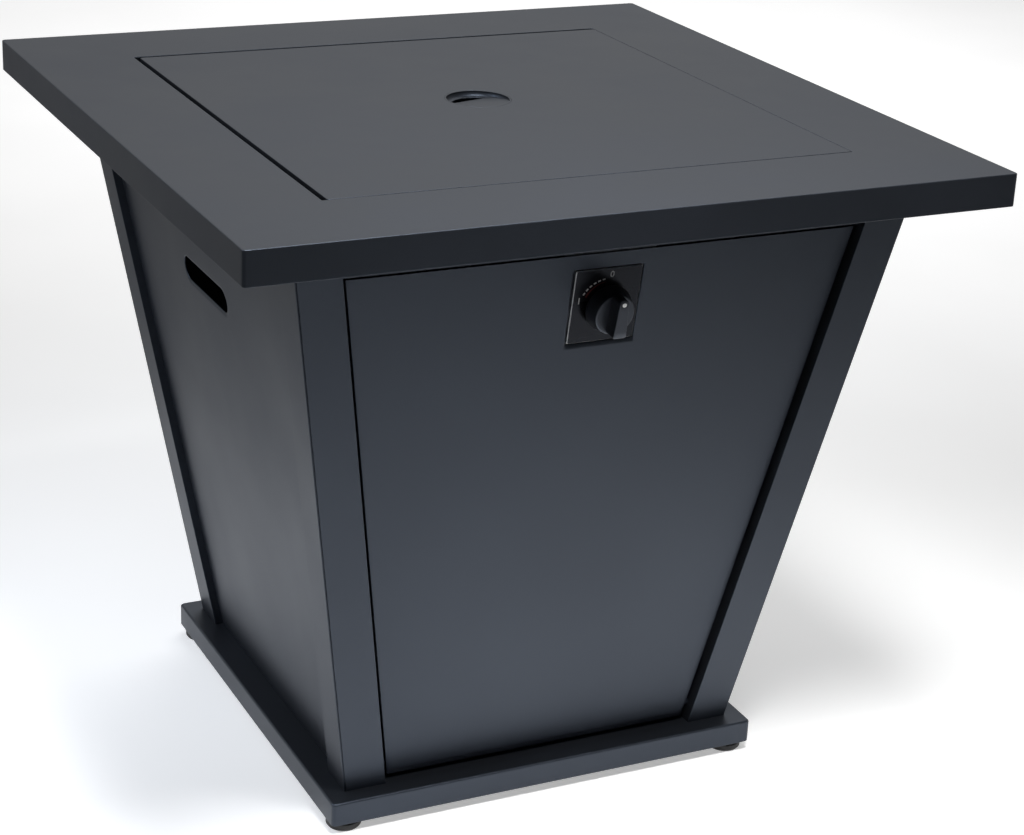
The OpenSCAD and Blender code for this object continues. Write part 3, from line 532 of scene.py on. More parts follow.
def weld(mesh: bpy.types.Mesh, name: str, outward: Optional[Sequence[float]] = None,
         crease_deg: float = CREASE_DEG, flatten: bool = False) -> bpy.types.Object:
    """Merges a mesh's doubles, turns its faces outwards and makes it an object.

    Args:
        mesh: The mesh.
        name: The piece's name.
        outward: The way an open sheet's outer face looks.
        crease_deg: Edges that turn further than this stay sharp.
        flatten: Joins the triangles of each flat face.

    Returns:
        The new object, at the origin.
    """
    shape = bmesh.new()
    shape.from_mesh(mesh)
    bmesh.ops.remove_doubles(shape, verts=shape.verts, dist=MERGE_DISTANCE)
    bmesh.ops.dissolve_degenerate(shape, edges=shape.edges, dist=MERGE_DISTANCE / 2)
    if flatten:
        bmesh.ops.dissolve_limit(shape, angle_limit=np.radians(FLAT_DEG), verts=shape.verts,
                                 edges=shape.edges)
    bmesh.ops.recalc_face_normals(shape, faces=shape.faces)
    if outward is not None:
        way = Vector(outward)
        if sum(f.normal.dot(way) * f.calc_area() for f in shape.faces) < 0:
            bmesh.ops.reverse_faces(shape, faces=shape.faces)
    shape.to_mesh(mesh)
    shape.free()
    mesh.shade_smooth()
    mesh.set_sharp_from_angle(angle=np.radians(crease_deg))
    made = bpy.data.objects.new(name, mesh)
    bpy.context.scene.collection.objects.link(made)
    return made


def thicken(piece: bpy.types.Object, sheet: float) -> bpy.types.Object:
    """Gives an open sheet its thickness, inwards from its outer face.

    Args:
        piece: The sheet.
        sheet: Its thickness.

    Returns:
        The piece.
    """
    wall = piece.modifiers.new("sheet", "SOLIDIFY")
    wall.thickness, wall.offset, wall.use_even_offset = sheet, -1.0, True
    return piece


def soften(piece: bpy.types.Object, width: float) -> bpy.types.Object:
    """Breaks a piece's sharp edges with a small two-step bevel.

    Args:
        piece: The piece.
        width: Width of the bevel.

    Returns:
        The piece.
    """
    edge = piece.modifiers.new("broken_edges", "BEVEL")
    edge.width, edge.segments, edge.limit_method = width, 2, "ANGLE"
    edge.angle_limit, edge.use_clamp_overlap = np.radians(BEVEL_FROM_DEG), True
    return piece


def fit(piece: bpy.types.Object, body: Body, slot: Slot, finish: Finish,
        *nodes: str) -> bpy.types.Object:
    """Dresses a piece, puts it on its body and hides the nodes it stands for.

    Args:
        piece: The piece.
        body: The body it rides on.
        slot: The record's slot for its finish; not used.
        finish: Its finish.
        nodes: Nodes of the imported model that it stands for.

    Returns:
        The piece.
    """
    piece.data.materials.clear()
    piece.data.materials.append(finish.material())
    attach(piece, body.value)
    if nodes:
        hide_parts(*nodes)
    LOG.info("%s rides on %s", piece.name, body.value)
    return piece


# Sub-assemblies


@dataclass
class Lean:
    """The leaning body that the posts, panels and door share.

    Attributes:
        post_w: Width of a post.
        recess: How far the panels and door lie behind the posts' faces.
        sheet: Sheet thickness of the panels and door.
    """

    post_w: float = 41 * MM
    recess: float = 8 * MM
    sheet: float = 1.2 * MM

    def __post_init__(self) -> None:
        """Reads the body's foot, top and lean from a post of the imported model."""
        low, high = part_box("rear_right_post")
        self.foot_z, self.top_z = low.z, high.z
        self.foot_half = low.x + self.post_w
        self.rate = (high.x - self.foot_half) / (self.top_z - self.foot_z)
        self.cos = 1 / np.hypot(1, self.rate)

    def half(self, z: Array) -> Array:
        """Half the body's width at a height."""
        return self.foot_half + (z - self.foot_z) * self.rate

    def wall(self, side: Side, u: Array, z: Array, depth: Array) -> Array:
        """Works out points on a leaning side.

        A point lies half the body's width at its height, less its depth, out from the middle.

        Args:
            side: The side.
            u: Places across the side.
            z: Heights.
            depth: Depths behind the posts' faces.

        Returns:
            The points, with x, y and z on the last axis.
        """
        u, z, depth = np.broadcast_arrays(u, z, depth)
        return side.turn(np.stack([self.half(z) - depth, u, z], axis=-1))


@dataclass
class TableTop:
    """The square top: a folded pan with a fascia, an opening and a ledge for the lid.

    Attributes:
        sheet: Sheet thickness.
        edge: Outer radius of the fold between the deck and the fascia.
        hem: Radius of the fascia's lower edge.
        corner: Corner radius of the fascia, seen from above.
        opening_corner: Corner radius of the opening, seen from above.
        opening_edge: Radius of the fold down into the opening.
        flange_gap: Gap between the bowl's flange and the opening.
        ledge_drop: How far the ledge lies below the deck.
        ledge_w: Width of the ledge.
        boss_r: Radius of a threaded boss.
        boss_h: Height of a threaded boss.
        boss_u: How far the bosses lie to each side.
        boss_count: Points round a boss.
        bolt_head_r: Radius of the heads of the bolts in the bosses.
        along: Shares of the half side where a side has points.
    """

    sheet: float = 1.5 * MM
    edge: float = 0.8 * MM
    hem: float = 0.6 * MM
    corner: float = 3 * MM
    opening_corner: float = 1.2 * MM
    opening_edge: float = 1.2 * MM
    flange_gap: float = 1 * MM
    ledge_drop: float = 10 * MM
    ledge_w: float = 14 * MM
    boss_r: float = 8 * MM
    boss_h: float = 6 * MM
    boss_u: float = 150 * MM
    boss_count: int = 32
    bolt_head_r: float = 5.5 * MM
    along: tuple[float, ...] = (-0.99, -0.5, 0, 0.5, 0.99)

    def build(self) -> None:
        """Builds and dresses the top."""
        shell = Shell().add(self.pan(), close=True)
        for side in Side:
            for u in (-self.boss_u, self.boss_u):
                shell.add(side.turn(self.boss() + [self.boss_line(), u, 0]))
        fit(shell.piece("top_pan"), Body.FRAME, Slot.COAT, COAT, "table_top")

    def boss_line(self) -> float:
        """Distance of the bosses' line from the middle, which is that of the bolts."""
        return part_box("top_bolts")[1].x - self.bolt_head_r

    def pan(self) -> Array:
        """Works out the pan's closed section, carried round rounded squares.

        Returns:
            A stack of rings from the ledge over the deck and fascia and back inside.
        """
        low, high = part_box("table_top")
        out, top, foot = high.x, high.z, low.z
        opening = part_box("fire_bowl")[1].x + self.flange_gap
        ledge, inner = top - self.ledge_drop, opening - self.ledge_w
        under = top - self.sheet
        section = rounded([
            (inner, ledge, SLIGHT), (opening, ledge, SOFT),
            (opening, top, self.opening_edge), (out, top, self.edge),
            (out, foot, self.hem), (out - self.sheet, foot, self.hem),
            (out - self.sheet, under, self.edge / 2), (opening + self.sheet, under, EASED),
            (opening + self.sheet, ledge - self.sheet, self.opening_edge),
            (inner, ledge - self.sheet, SLIGHT)], closed=True)
        half, height = section.T
        radius = np.interp(half, [opening, out], [self.opening_corner, self.corner])
        return square_rings(half, radius, height, along=self.along)

    def boss(self) -> Array:
        """Works out one threaded boss under the deck as a turned profile.

        Returns:
            The boss's grid about the upright axis, closed at both ends.
        """
        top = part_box("table_top")[1].z - self.sheet
        foot = top - self.boss_h
        return turned(rounded([(0, top, 0), (self.boss_r, top, 0), (self.boss_r, foot, EASED),
                               (0, foot, 0)]), self.boss_count)


@dataclass
class Lid:
    """The lift-off lid and the finger cup set into it.

    Attributes:
        sheet: Sheet thickness.
        edge: Radius of the fold round the lid.
        corner: Corner radius, seen from above.
        flat: How far in from its edge the lid is one flat sheet.
        pull_r: Radius of the hole for the cup.
        pull_rim: Width of the flat ring round the hole.
        pull_edge: Radius where the lid turns down to the cup, and of the cup's rim.
        pull_turn_deg: How far the cup is turned.
        cup_gap: Gap between cup and hole.
        cup_wall: Wall of the cup.
        cup_fold: Radius between the cup's floor and its chamber.
        cup_count: Points round the cup.
        collar: How far the cup's chamber reaches out under the lid.
        lip: Height of the cup's lip.
        cove: Radius of the hollow inside the lip.
        cove_foot: Thickness of the lip below the hollow.
        finger_gap: Room behind the ramp's free edge.
        ramp_drop: How far the ramp drops.
        ramp_steps: Points along and across the ramp.
    """

    sheet: float = 1.5 * MM
    edge: float = 0.4 * MM
    corner: float = 2 * MM
    flat: float = 60 * MM
    pull_r: float = 31.5 * MM
    pull_rim: float = 3 * MM
    pull_edge: float = 0.2 * MM
    pull_turn_deg: float = 14.5
    cup_gap: float = 0.15 * MM
    cup_wall: float = 1.5 * MM
    cup_fold: float = 1.5 * MM
    cup_count: int = 96
    collar: float = 10 * MM
    lip: float = 6.3 * MM
    cove: float = 4 * MM
    cove_foot: float = 0.8 * MM
    finger_gap: float = 18 * MM
    ramp_drop: float = 4.5 * MM
    ramp_steps: tuple[int, int] = (40, 41)

    def build(self) -> None:
        """Builds and dresses the lid and its cup."""
        self.low, self.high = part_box("lid")
        self.cup_low, self.cup_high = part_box("lid_finger_cup")
        fit(Shell().add(self.plate(), close=True).piece("lid_plate"), Body.LID, Slot.COAT, COAT, "lid")
        cup = Shell().add(self.place(self.cup())).add(self.place(self.ramp()), wrap=False)
        fit(cup.piece("finger_cup"), Body.LID, Slot.COAT, COAT, "lid_finger_cup")

    def place(self, points: Array) -> Array:
        """Turns points round the cup's own axis and carries them to it.

        Args:
            points: Points about the upright axis, with x, y and z on the last axis.

        Returns:
            The points in the table's frame.
        """
        turn = np.radians(self.pull_turn_deg)
        middle = (self.cup_low + self.cup_high) / 2
        return spun(points, np.cos(turn), np.sin(turn)) + [middle.x, middle.y, 0]

    def plate(self) -> Array:
        """Works out the lid's closed section, from the round hole to the square skirt and back.

        Returns:
            A stack of rings, circles about the cup's axis and rounded squares about the lid's middle.
        """
        middle = (self.low + self.high) / 2
        out, top, foot = self.high.x - middle.x, self.high.z, self.low.z
        under, brim, flat = top - self.sheet, self.pull_r + self.pull_rim, out - self.flat
        hole = rounded([(brim, under, 0), (self.pull_r, under, FINE), (self.pull_r, top, self.pull_edge),
                        (brim, top, 0)], support=SLIGHT)
        skirt = rounded([(flat, top, 0), (out, top, self.edge), (out, foot, BROKEN),
                         (out - self.sheet, foot, BROKEN), (out - self.sheet, under, BROKEN),
                         (flat, under, 0)])
        rings = holed(hole, skirt, self.corner)
        rings[:len(hole)] = self.place(rings[:len(hole)])
        rings[len(hole):, :, :2] += middle[:2]
        return rings

    def cup(self) -> Array:
        """Works out the cup as a turned profile: floor, chamber, collar, hollow lip and inside again.

        Returns:
            The cup's grid about the upright axis.
        """
        out, top, floor = self.pull_r - self.cup_gap, self.high.z, self.cup_low.z
        inside, chamber = out - self.cup_wall, out + self.collar
        under, lip = top - self.sheet, top - self.lip
        toe, sole = inside - self.cove - self.cove_foot, lip + self.cove_foot
        wall, roof, base = chamber - self.cup_wall, under - self.cup_wall, floor + self.cup_wall
        return turned(rounded([
            (0, floor, 0), (chamber, floor, self.cup_fold), (chamber, under, SLIGHT), (out, under, 0),
            (out, top, self.pull_edge), (inside, top, self.pull_edge), (inside, sole, self.cove),
            (toe, sole, FINE), (toe, lip, FINE), (out, lip, SLIGHT), (out, roof, FINE),
            (wall, roof, BROKEN), (wall, base, BROKEN), (0, base, 0)], support=FINE), self.cup_count)

    def ramp(self) -> Array:
        """Works out the sloping half floor of the pull.

        Its section runs from the near rim down to a broken free edge and back underneath. Each
        point of the section is carried across the chord of the cup's circle at that place.

        Returns:
            The grid, with the section along the rows.
        """
        out, top = self.pull_r - self.cup_gap, self.high.z
        reach = out - self.cup_wall / 2
        end = out - self.cup_wall - self.finger_gap
        slope = self.ramp_drop / (end + out)
        rows, columns = self.ramp_steps
        run = -reach * np.cos(np.linspace(0, np.arccos(-end / reach), rows))
        edge = rounded([(run[-2], 0, 0), (end, 0, SLIGHT), (end, -self.cup_wall, SLIGHT),
                        (run[-2], -self.cup_wall, 0)], support=BROKEN)
        over = np.column_stack([run[:-2], 0 * run[:-2]])
        section = np.vstack([over, edge, over[::-1] - [0, self.cup_wall]])
        share = np.linspace(-1, 1, columns)
        y = section[:, 0, None] + 0 * share
        x = np.sqrt(np.maximum(reach ** 2 - y ** 2, 0)) * share
        return np.dstack([x, y, top - slope * (y + out) + section[:, 1, None]])


@dataclass
class Posts:
    """The four leaning corner posts, square tubes closed by a foot plate.

    Attributes:
        lean: The body that they follow.
        wall: Wall of the tube.
        corner: Outer corner radius of the tube.
        inner_corner: Inner corner radius of the tube.
        foot: Thickness of the foot plate.
        seam_d: Depth of the seam where the tube's sheet meets, beside one outer corner.
        seam: Shares of the half width between which the seam lies.
        brink: Share of the half width in which each side of the seam falls.
        last: Share of the half width at a face's last point.
        arc_steps: Steps round each corner.
        foot_rise: Height of a ring that keeps the foot's edge straight.
    """

    lean: Lean
    wall: float = 1.5 * MM
    corner: float = 0.5 * MM
    inner_corner: float = 0.3 * MM
    foot: float = 3 * MM
    seam_d: float = 1.2 * MM
    seam: tuple[float, float] = (0.945, 0.996)
    brink: float = 0.002
    last: float = 0.96
    arc_steps: int = 5
    foot_rise: float = 1 * MM

    def build(self) -> None:
        """Builds and dresses the four posts."""
        names = {Side.RIGHT: "rear_right", Side.REAR: "rear_left", Side.LEFT: "front_left",
                 Side.FRONT: "front_right"}
        for turn, name in names.items():
            shell = Shell().add(turn.turn(self.post()))
            fit(shell.piece(name + "_corner_post"), Body.FRAME, Slot.COAT, COAT, name + "_post")

    def post(self) -> Array:
        """Works out a post as rounded squares whose middle moves out with the height.

        Two points of one face move in to make the seam.

        Returns:
            A stack of rings: the foot, the outside, the inside and the foot plate.
        """
        low, high, half = self.lean.foot_z, self.lean.top_z, self.lean.post_w / 2
        inner, near, far = half - self.wall, *self.seam
        section = np.array([
            (0, 0, low), (half, self.corner, low), (half, self.corner, low + self.foot_rise),
            (half, self.corner, high), (inner, self.inner_corner, high),
            (inner, self.inner_corner, low + self.foot), (0, 0, low + self.foot)])
        along = (-far - self.brink, -far, -near, -near + self.brink, self.last)
        rings = square_rings(*section.T, steps=self.arc_steps, along=along)
        seam = len(along) + self.arc_steps + 2
        outside = slice(1, 4)
        rings[outside, seam:seam + 2, 1] -= self.seam_d
        rings[..., :2] += (self.lean.half(section[:, 2]) - half)[:, None, None]
        return rings


@dataclass
class Skin:
    """A leaning sheet between two posts, with folded edges and perhaps an opening.

    Attributes:
        lean: The body that it follows.
        side: The side it is on.
        low: Height of its lower edge.
        high: Height of its upper edge.
        folded_to: Height up to which its sides are folded in.
        margin: How far its sides lie in from the body's outer faces.
        fold_w: Width of the folded edges.
        foot_fold: Whether the lower edge is folded in too.
        opening: Half width, half height along the slope, corner radius and height of an opening.
        bend: Outer radius of the folds.
        bend_steps: Steps round a fold.
        steps: Steps along each edge.
        mix: Shares of the way from the opening's outline to the sheet's where rings lie.
    """

    lean: Lean
    side: Side
    low: float
    high: float
    folded_to: float
    margin: float
    fold_w: float
    foot_fold: bool
    opening: Optional[tuple[float, float, float, float]] = None
    bend: float = 0.4 * MM
    bend_steps: int = 5
    steps: int = 24
    mix: tuple[float, ...] = (0, 0.012, 0.3, 0.7, 0.985, 1)

    def shell(self) -> Shell:
        """Joins the face and its folds.

        Returns:
            The sheet's outer face, open at its edges.
        """
        shell = Shell()
        start = self.low + (self.bend if self.foot_fold else 0)
        edge_z = np.append(np.linspace(start, self.folded_to, self.steps), self.high)
        flat = self.lean.half(edge_z) - self.margin - self.bend
        share = np.linspace(-1, 1, self.steps + 1)
        if self.opening:
            shell.add(self.face(edge_z, flat, share))
        else:
            across = flat[:, None] * share
            shell.add(self.lean.wall(self.side, across, edge_z[:, None], self.lean.recess), wrap=False)
        turn = np.linspace(0, np.pi / 2, self.bend_steps + 1)
        over = np.append(self.bend * np.sin(turn), self.bend)[:, None]
        back = self.lean.recess + np.append(self.bend * (1 - np.cos(turn)), self.fold_w)[:, None]
        for sign in (-1, 1):
            shell.add(self.lean.wall(self.side, sign * (flat[:-1] + over), edge_z[:-1], back), wrap=False)
        if self.foot_fold:
            shell.add(self.lean.wall(self.side, flat[0] * share, start - over, back), wrap=False)
        return shell

    def face(self, edge_z: Array, flat: Array, share: Array) -> Array:
        """Works out the face as rings that grow from the opening to the edges.

        Each ring mixes the opening's outline and the sheet's outline, point by point, in the same
        order: along the foot, up one side, back along the head and down the other side.

        Args:
            edge_z: Heights along a side.
            flat: Half widths at those heights.
            share: Places along the foot and the head.

        Returns:
            The rings of points on the leaning side.
        """
        half_u, half_w, corner, middle_z = self.opening
        one = np.ones(self.steps)
        sheet = np.vstack([
            np.column_stack([flat[0] * share[:-1], edge_z[0] * one]),
            np.column_stack([flat[:-1], edge_z[:-1]]),
            np.column_stack([flat[-1] * share[:0:-1], edge_z[-1] * one]),
            np.column_stack([-flat[:0:-1], edge_z[:0:-1]])])
        run = np.linspace(-1, 1, self.steps, endpoint=False)
        if corner < half_w:
            turn_u, turn_w = half_u + 0 * run, half_w * run
        else:
            turn_u = half_u - corner + corner * np.cos(run * np.pi / 2)
            turn_w = corner * np.sin(run * np.pi / 2)
        level = (half_u if corner < half_w else half_u - corner) * run
        hole = np.vstack([
            np.column_stack([level, -half_w * one]), np.column_stack([turn_u, turn_w]),
            np.column_stack([-level, half_w * one]), np.column_stack([-turn_u, -turn_w])])
        hole[:, 1] = middle_z + hole[:, 1] * self.lean.cos
        mix = np.array(self.mix)[:, None, None]
        outline = (1 - mix) * hole + mix * sheet
        return self.lean.wall(self.side, outline[..., 0], outline[..., 1], self.lean.recess)

    def outward(self) -> Array:
        """The way the sheet's outer face looks."""
        return self.side.turn(np.array([1.0, 0.0, -self.lean.rate]))


@dataclass
class Panels:
    """The side and rear panels and the front door.

    Attributes:
        lean: The body that they follow.
        seat_gap: Gap between a panel and the posts.
        door_gap: Gap between the door and the posts.
        panel_fold: Width of a panel's folded edges.
        door_fold: Width of the door's folded edges.
        slot_w: Width of a hand slot.
        slot_h: Height of a hand slot.
        slot_drop: How far a hand slot lies below the table's top.
        cut_w: Width of the door's cut-out for the controls.
        cut_h: Height of that cut-out.
    """

    lean: Lean
    seat_gap: float = 0.15 * MM
    door_gap: float = 5 * MM
    panel_fold: float = 18 * MM
    door_fold: float = 12 * MM
    slot_w: float = 118 * MM
    slot_h: float = 24 * MM
    slot_drop: float = 150.5 * MM
    cut_w: float = 66 * MM
    cut_h: float = 72 * MM

    def build(self, control_z: float) -> None:
        """Builds and dresses the panels and the door.

        Args:
            control_z: Height of the controls' axis.
        """
        door_low, door_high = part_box("front_door")
        slot_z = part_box("table_top")[1].z - self.slot_drop
        slot = (self.slot_w / 2, self.slot_h / 2, self.slot_h / 2, slot_z)
        margin = self.lean.post_w + self.seat_gap
        for side, opening in ((Side.RIGHT, slot), (Side.REAR, None), (Side.LEFT, slot)):
            node = side.name.lower() + "_panel"
            low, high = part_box(node)
            skin = Skin(self.lean, side, low.z, high.z, door_high.z, margin, self.panel_fold, True,
                        opening)
            self.dress(skin, side.name.lower() + "_side_panel", Body.FRAME, node)
        cut = (self.cut_w / 2, self.cut_h / 2, 0.0, control_z)
        door = Skin(self.lean, Side.FRONT, door_low.z, door_high.z, door_high.z,
                    self.lean.post_w + self.door_gap, self.door_fold, False, cut)
        self.dress(door, "front_door_sheet", Body.DOOR, "front_door")

    def dress(self, skin: Skin, name: str, body: Body, node: str) -> None:
        """Makes one sheet a piece with its thickness and coat.

        Args:
            skin: The sheet.
            name: The piece's name.
            body: The body it rides on.
            node: The node it stands for.
        """
        piece = skin.shell().piece(name, skin.outward())
        fit(thicken(piece, self.lean.sheet), body, Slot.COAT, COAT, node)


@dataclass
class Plinth:
    """The base tray, an upturned pan on four levelling feet.

    Attributes:
        sheet: Sheet thickness.
        edge: Outer radius of the fold between its top and its skirt.
        hem: Radius of the skirt's lower edge.
        corner: Corner radius, seen from above.
        flat: How far in from its edge the tray is one flat sheet.
        vent_r: Radius of the vent in the middle.
        vent_rim: Width of the flat ring round the vent.
        plate: Width of a corner plate.
        plate_t: Thickness of a corner plate.
        plate_corner: Corner radius of a corner plate.
        toe_in: How far a foot's sole lies in from its rim.
        rim_low: Height of the rim's lower edge.
        rim_high: Height of the rim's upper edge.
        cone: How far a foot's top lies in from its rim.
        foot_fold: Radius of a foot's lower edge and of its top.
        shoulder: Radius of the rim's upper edge.
        stud_r: Radius of a foot's stud.
        stud_end: Radius of the stud's end.
        foot_count: Points round a foot.
    """

    sheet: float = 1.5 * MM
    edge: float = 1.9 * MM
    hem: float = 0.6 * MM
    corner: float = 4 * MM
    flat: float = 30 * MM
    vent_r: float = 75 * MM
    vent_rim: float = 4 * MM
    plate: float = 44 * MM
    plate_t: float = 3 * MM
    plate_corner: float = 1 * MM
    toe_in: float = 1.5 * MM
    rim_low: float = 2.2 * MM
    rim_high: float = 6.8 * MM
    cone: float = 5 * MM
    foot_fold: float = 1.0 * MM
    shoulder: float = 1.2 * MM
    stud_r: float = 4 * MM
    stud_end: float = 0.6 * MM
    foot_count: int = 48

    def build(self) -> None:
        """Builds and dresses the tray and its feet."""
        shell = Shell().add(self.pan(), close=True)
        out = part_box("base_tray")[1].x - self.sheet - self.plate / 2
        for x in (-out, out):
            for y in (-out, out):
                shell.add(self.corner_plate() + [x, y, 0])
        fit(shell.piece("plinth_tray"), Body.FRAME, Slot.COAT, COAT, "base_tray")
        for body in (Body.FRONT_LEFT_LEVELLER, Body.FRONT_RIGHT_LEVELLER, Body.REAR_LEFT_LEVELLER,
                     Body.REAR_RIGHT_LEVELLER):
            self.foot(body)

    def pan(self) -> Array:
        """Works out the tray's closed section, from the round vent over the skirt and back.

        Returns:
            A stack of rings, circles at the vent and rounded squares elsewhere.
        """
        low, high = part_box("base_tray")
        out, top, foot, under = high.x, high.z, low.z, high.z - self.sheet
        brim, flat = self.vent_r + self.vent_rim, out - self.flat
        vent = rounded([(brim, under, 0), (self.vent_r, under, SLIGHT), (self.vent_r, top, SLIGHT),
                        (brim, top, 0)], support=SLIGHT)
        skirt = rounded([(flat, top, 0), (out, top, self.edge), (out, foot, self.hem),
                         (out - self.sheet, foot, self.hem), (out - self.sheet, under, EASED),
                         (flat, under, 0)])
        return holed(vent, skirt, self.corner)

    def corner_plate(self) -> Array:
        """Works out a plate that carries a foot, as two rounded squares closed to points.

        Returns:
            The plate's rings about the upright axis.
        """
        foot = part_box("base_tray")[0].z
        rings = square_rings([self.plate / 2] * 2, [self.plate_corner] * 2, [foot, foot + self.plate_t])
        ends = rings * [0, 0, 1]
        return np.concatenate([ends[:1], rings, ends[1:]])

    def foot(self, body: Body) -> None:
        """Builds and dresses one levelling foot as a turned profile.

        Args:
            body: The foot's own body.
        """
        node = body.value.replace("leveller", "foot")
        low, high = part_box(node)
        out, middle = (high.x - low.x) / 2, (low + high) / 2
        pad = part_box("base_tray")[0].z
        profile = rounded([
            (0, 0, 0), (out - self.toe_in, 0, SOFT), (out, self.rim_low, self.foot_fold),
            (out, self.rim_high, self.shoulder), (out - self.cone, pad, self.foot_fold),
            (self.stud_r, pad, SLIGHT), (self.stud_r, high.z, self.stud_end), (0, high.z, 0)],
            support=BROKEN)
        shell = Shell().add(turned(profile, self.foot_count) + [middle.x, middle.y, low.z])
        fit(shell.piece(node + "_pad"), body, Slot.PLASTIC, FOOT_PLASTIC, node)


@dataclass
class Controls:
    """The control plate with its printed dial, and the push-and-turn knob.

    Attributes:
        plate_w: Width of the plate.
        plate_h: Height of the plate.
        plate_t: Thickness of the plate.
        plate_corner: Corner radius of the plate.
        plate_along: Shares of the half side where the plate's sides have points.
        chamfer: Width of the plate's milled edge.
        skin_t: Thickness of the bright skin on the milled edge.
        skin_proud: How far that skin stands proud of the plate.
        neck_r: Radius of the hole for the valve's neck.
        neck_rim: Width of the flat ring round that hole.
        face: How far the plate's face lies in front of the door's face.
        skirt_r: Radius of the knob's skirt.
        skirt_h: Height of the skirt.
        skirt_wall: Wall of the skirt.
        skirt_deck: Thickness of the skirt's top.
        skirt_fold: Radius inside the skirt, under its top.
        skirt_edge: Radius of the top's edge.
        skirt_rim: Height of the skirt's upright rim.
        skirt_draw: How far the skirt draws in from its rim to its top.
        knob_count: Points round the skirt.
        front: How far the knob's front lies in front of the door's face.
        back: How far the knob's back lies in front of the door's face.
        grip_w: Width of the grip's blunt end.
        grip_corner: Corner radius of the blunt end.
        grip_sink: How deep the grip sits in the skirt.
        grip_foot: Height of the grip's flared foot.
        grip_brow: Height of its rounded front edge.
        grip_widths: Widths of the grip's outlines from its foot to its front, as shares.
        grip_steps: Steps round each corner of the grip.
        tip_round: Radius of the pointing end's corners, as a share of tip_r.
        tip_r: Radius of the grip's pointing end.
        tip_at: How far the pointing end's middle is from the axis.
        marker_r: Radius of the white dot.
        marker_sink: How deep the dot sits in the grip.
        marker_rim: How far the dot's rim stands proud.
        marker_crown: How far the dot's middle stands proud.
        marker_count: Points round the dot.
        tick_r: Radius of the dial's ticks.
        tick_w: Width of a tick, along the radius.
        tick_starts_deg: Where the first and the last tick start.
        tick_deg: Angle of a tick.
        ticks: Number of ticks.
        tick_steps: Points along a tick.
        wedge_r: Outer radius of the red wedge.
        wedge_w: Width of the wedge's thick end.
        wedge_point: Width of its thin end, as a share.
        wedge_deg: Where the wedge starts and ends.
        wedge_steps: Points along the wedge.
        numerals: Each numeral with its angle in degrees and its radius.
        numeral_h: Height of a numeral.
        font_share: Height of the font's numerals, as a share of its size.
        print_t: Thickness of the printed ink.
    """

    plate_w: float = 64 * MM
    plate_h: float = 70 * MM
    plate_t: float = 2.8 * MM
    plate_corner: float = 1.5 * MM
    plate_along: Sequence[float] = tuple(np.linspace(-0.95, 0.95, 9))
    chamfer: float = 0.7 * MM
    skin_t: float = 0.2 * MM
    skin_proud: float = 0.01 * MM
    neck_r: float = 8.65 * MM
    neck_rim: float = 1 * MM
    face: float = 0.83 * MM
    skirt_r: float = 21.5 * MM
    skirt_h: float = 14 * MM
    skirt_wall: float = 2 * MM
    skirt_deck: float = 2.5 * MM
    skirt_fold: float = 1.5 * MM
    skirt_edge: float = 1 * MM
    skirt_rim: float = 1.6 * MM
    skirt_draw: float = 3.2 * MM
    knob_count: int = 96
    front: float = 33.33 * MM
    back: float = 6.33 * MM
    grip_w: float = 13 * MM
    grip_corner: float = 2 * MM
    grip_sink: float = 1 * MM
    grip_foot: float = 1.6 * MM
    grip_brow: float = 1 * MM
    grip_widths: tuple[float, ...] = (0, 1.1, 1.06, 1.0, 0.965, 0.93, 0.6, 0)
    grip_steps: int = 8
    tip_round: float = 0.95
    tip_r: float = 4.3 * MM
    tip_at: float = 16.2 * MM
    marker_r: float = 2 * MM
    marker_sink: float = 0.6 * MM
    marker_rim: float = 0.1 * MM
    marker_crown: float = 0.4 * MM
    marker_count: int = 24
    tick_r: float = 24.5 * MM
    tick_w: float = 1.4 * MM
    tick_starts_deg: tuple[float, float] = (97, 147)
    tick_deg: float = 6
    ticks: int = 6
    tick_steps: int = 6
    wedge_r: float = 22.6 * MM
    wedge_w: float = 1.8 * MM
    wedge_point: float = 0.25
    wedge_deg: tuple[float, float] = (96, 155)
    wedge_steps: int = 24
    numerals: tuple[tuple[str, float, float], ...] = (("0", 84, 28.9 * MM), ("1", 167, 26.5 * MM))
    numeral_h: float = 6 * MM
    font_share: float = 0.7
    print_t: float = 0.06 * MM

    def __post_init__(self) -> None:
        """Reads the controls' axis from the knob's joint: out of the door, up it and to the right."""
        joint = next(j for j in frame["joints"] if j["name"] == "knob_turn")
        self.origin = np.array(joint["pos_m"])
        out = unit(np.array(joint["axis"]))
        right = np.array([1.0, 0.0, 0.0])
        self.axes = np.stack([right, np.cross(out, right), out])

    def place(self, points: Array) -> Array:
        """Carries points from the dial's axes, right, up and out, into the table's frame."""
        return self.origin + points @ self.axes

    def build(self) -> None:
        """Builds and dresses the plate, its print, the knob and its dot."""
        fit(Shell().add(self.place(self.plate()), close=True).piece("dial_plate"), Body.FRAME,
            Slot.PLATE, ENAMEL, "control_plate")
        fit(Shell().add(self.place(self.cut_edge()), close=True).piece("dial_plate_cut_edge"),
            Body.FRAME, Slot.ZINC, CUT_EDGE)
        self.dial()
        knob = Shell().add(self.place(self.skirt())).add(self.place(self.grip()))
        fit(knob.piece("knob_body"), Body.KNOB, Slot.PLASTIC, PLASTIC, "control_knob")
        fit(Shell().add(self.place(self.dot())).piece("knob_dot"), Body.KNOB, Slot.WHITE, WHITE_PAINT,
            "knob_marker")

    def dot(self) -> Array:
        """Works out the white dot in the grip's pointing end as a turned profile.

        Returns:
            The dot's grid on the dial's axes, closed at both ends.
        """
        foot, rim, crown = self.front + np.array([-self.marker_sink, self.marker_rim, self.marker_crown])
        profile = rounded([(0, foot, 0), (self.marker_r, foot, 0), (self.marker_r, rim, HAIR),
                           (0, crown, 0)], support=HAIR)
        return turned(profile, self.marker_count) + [0, self.tip_at, 0]

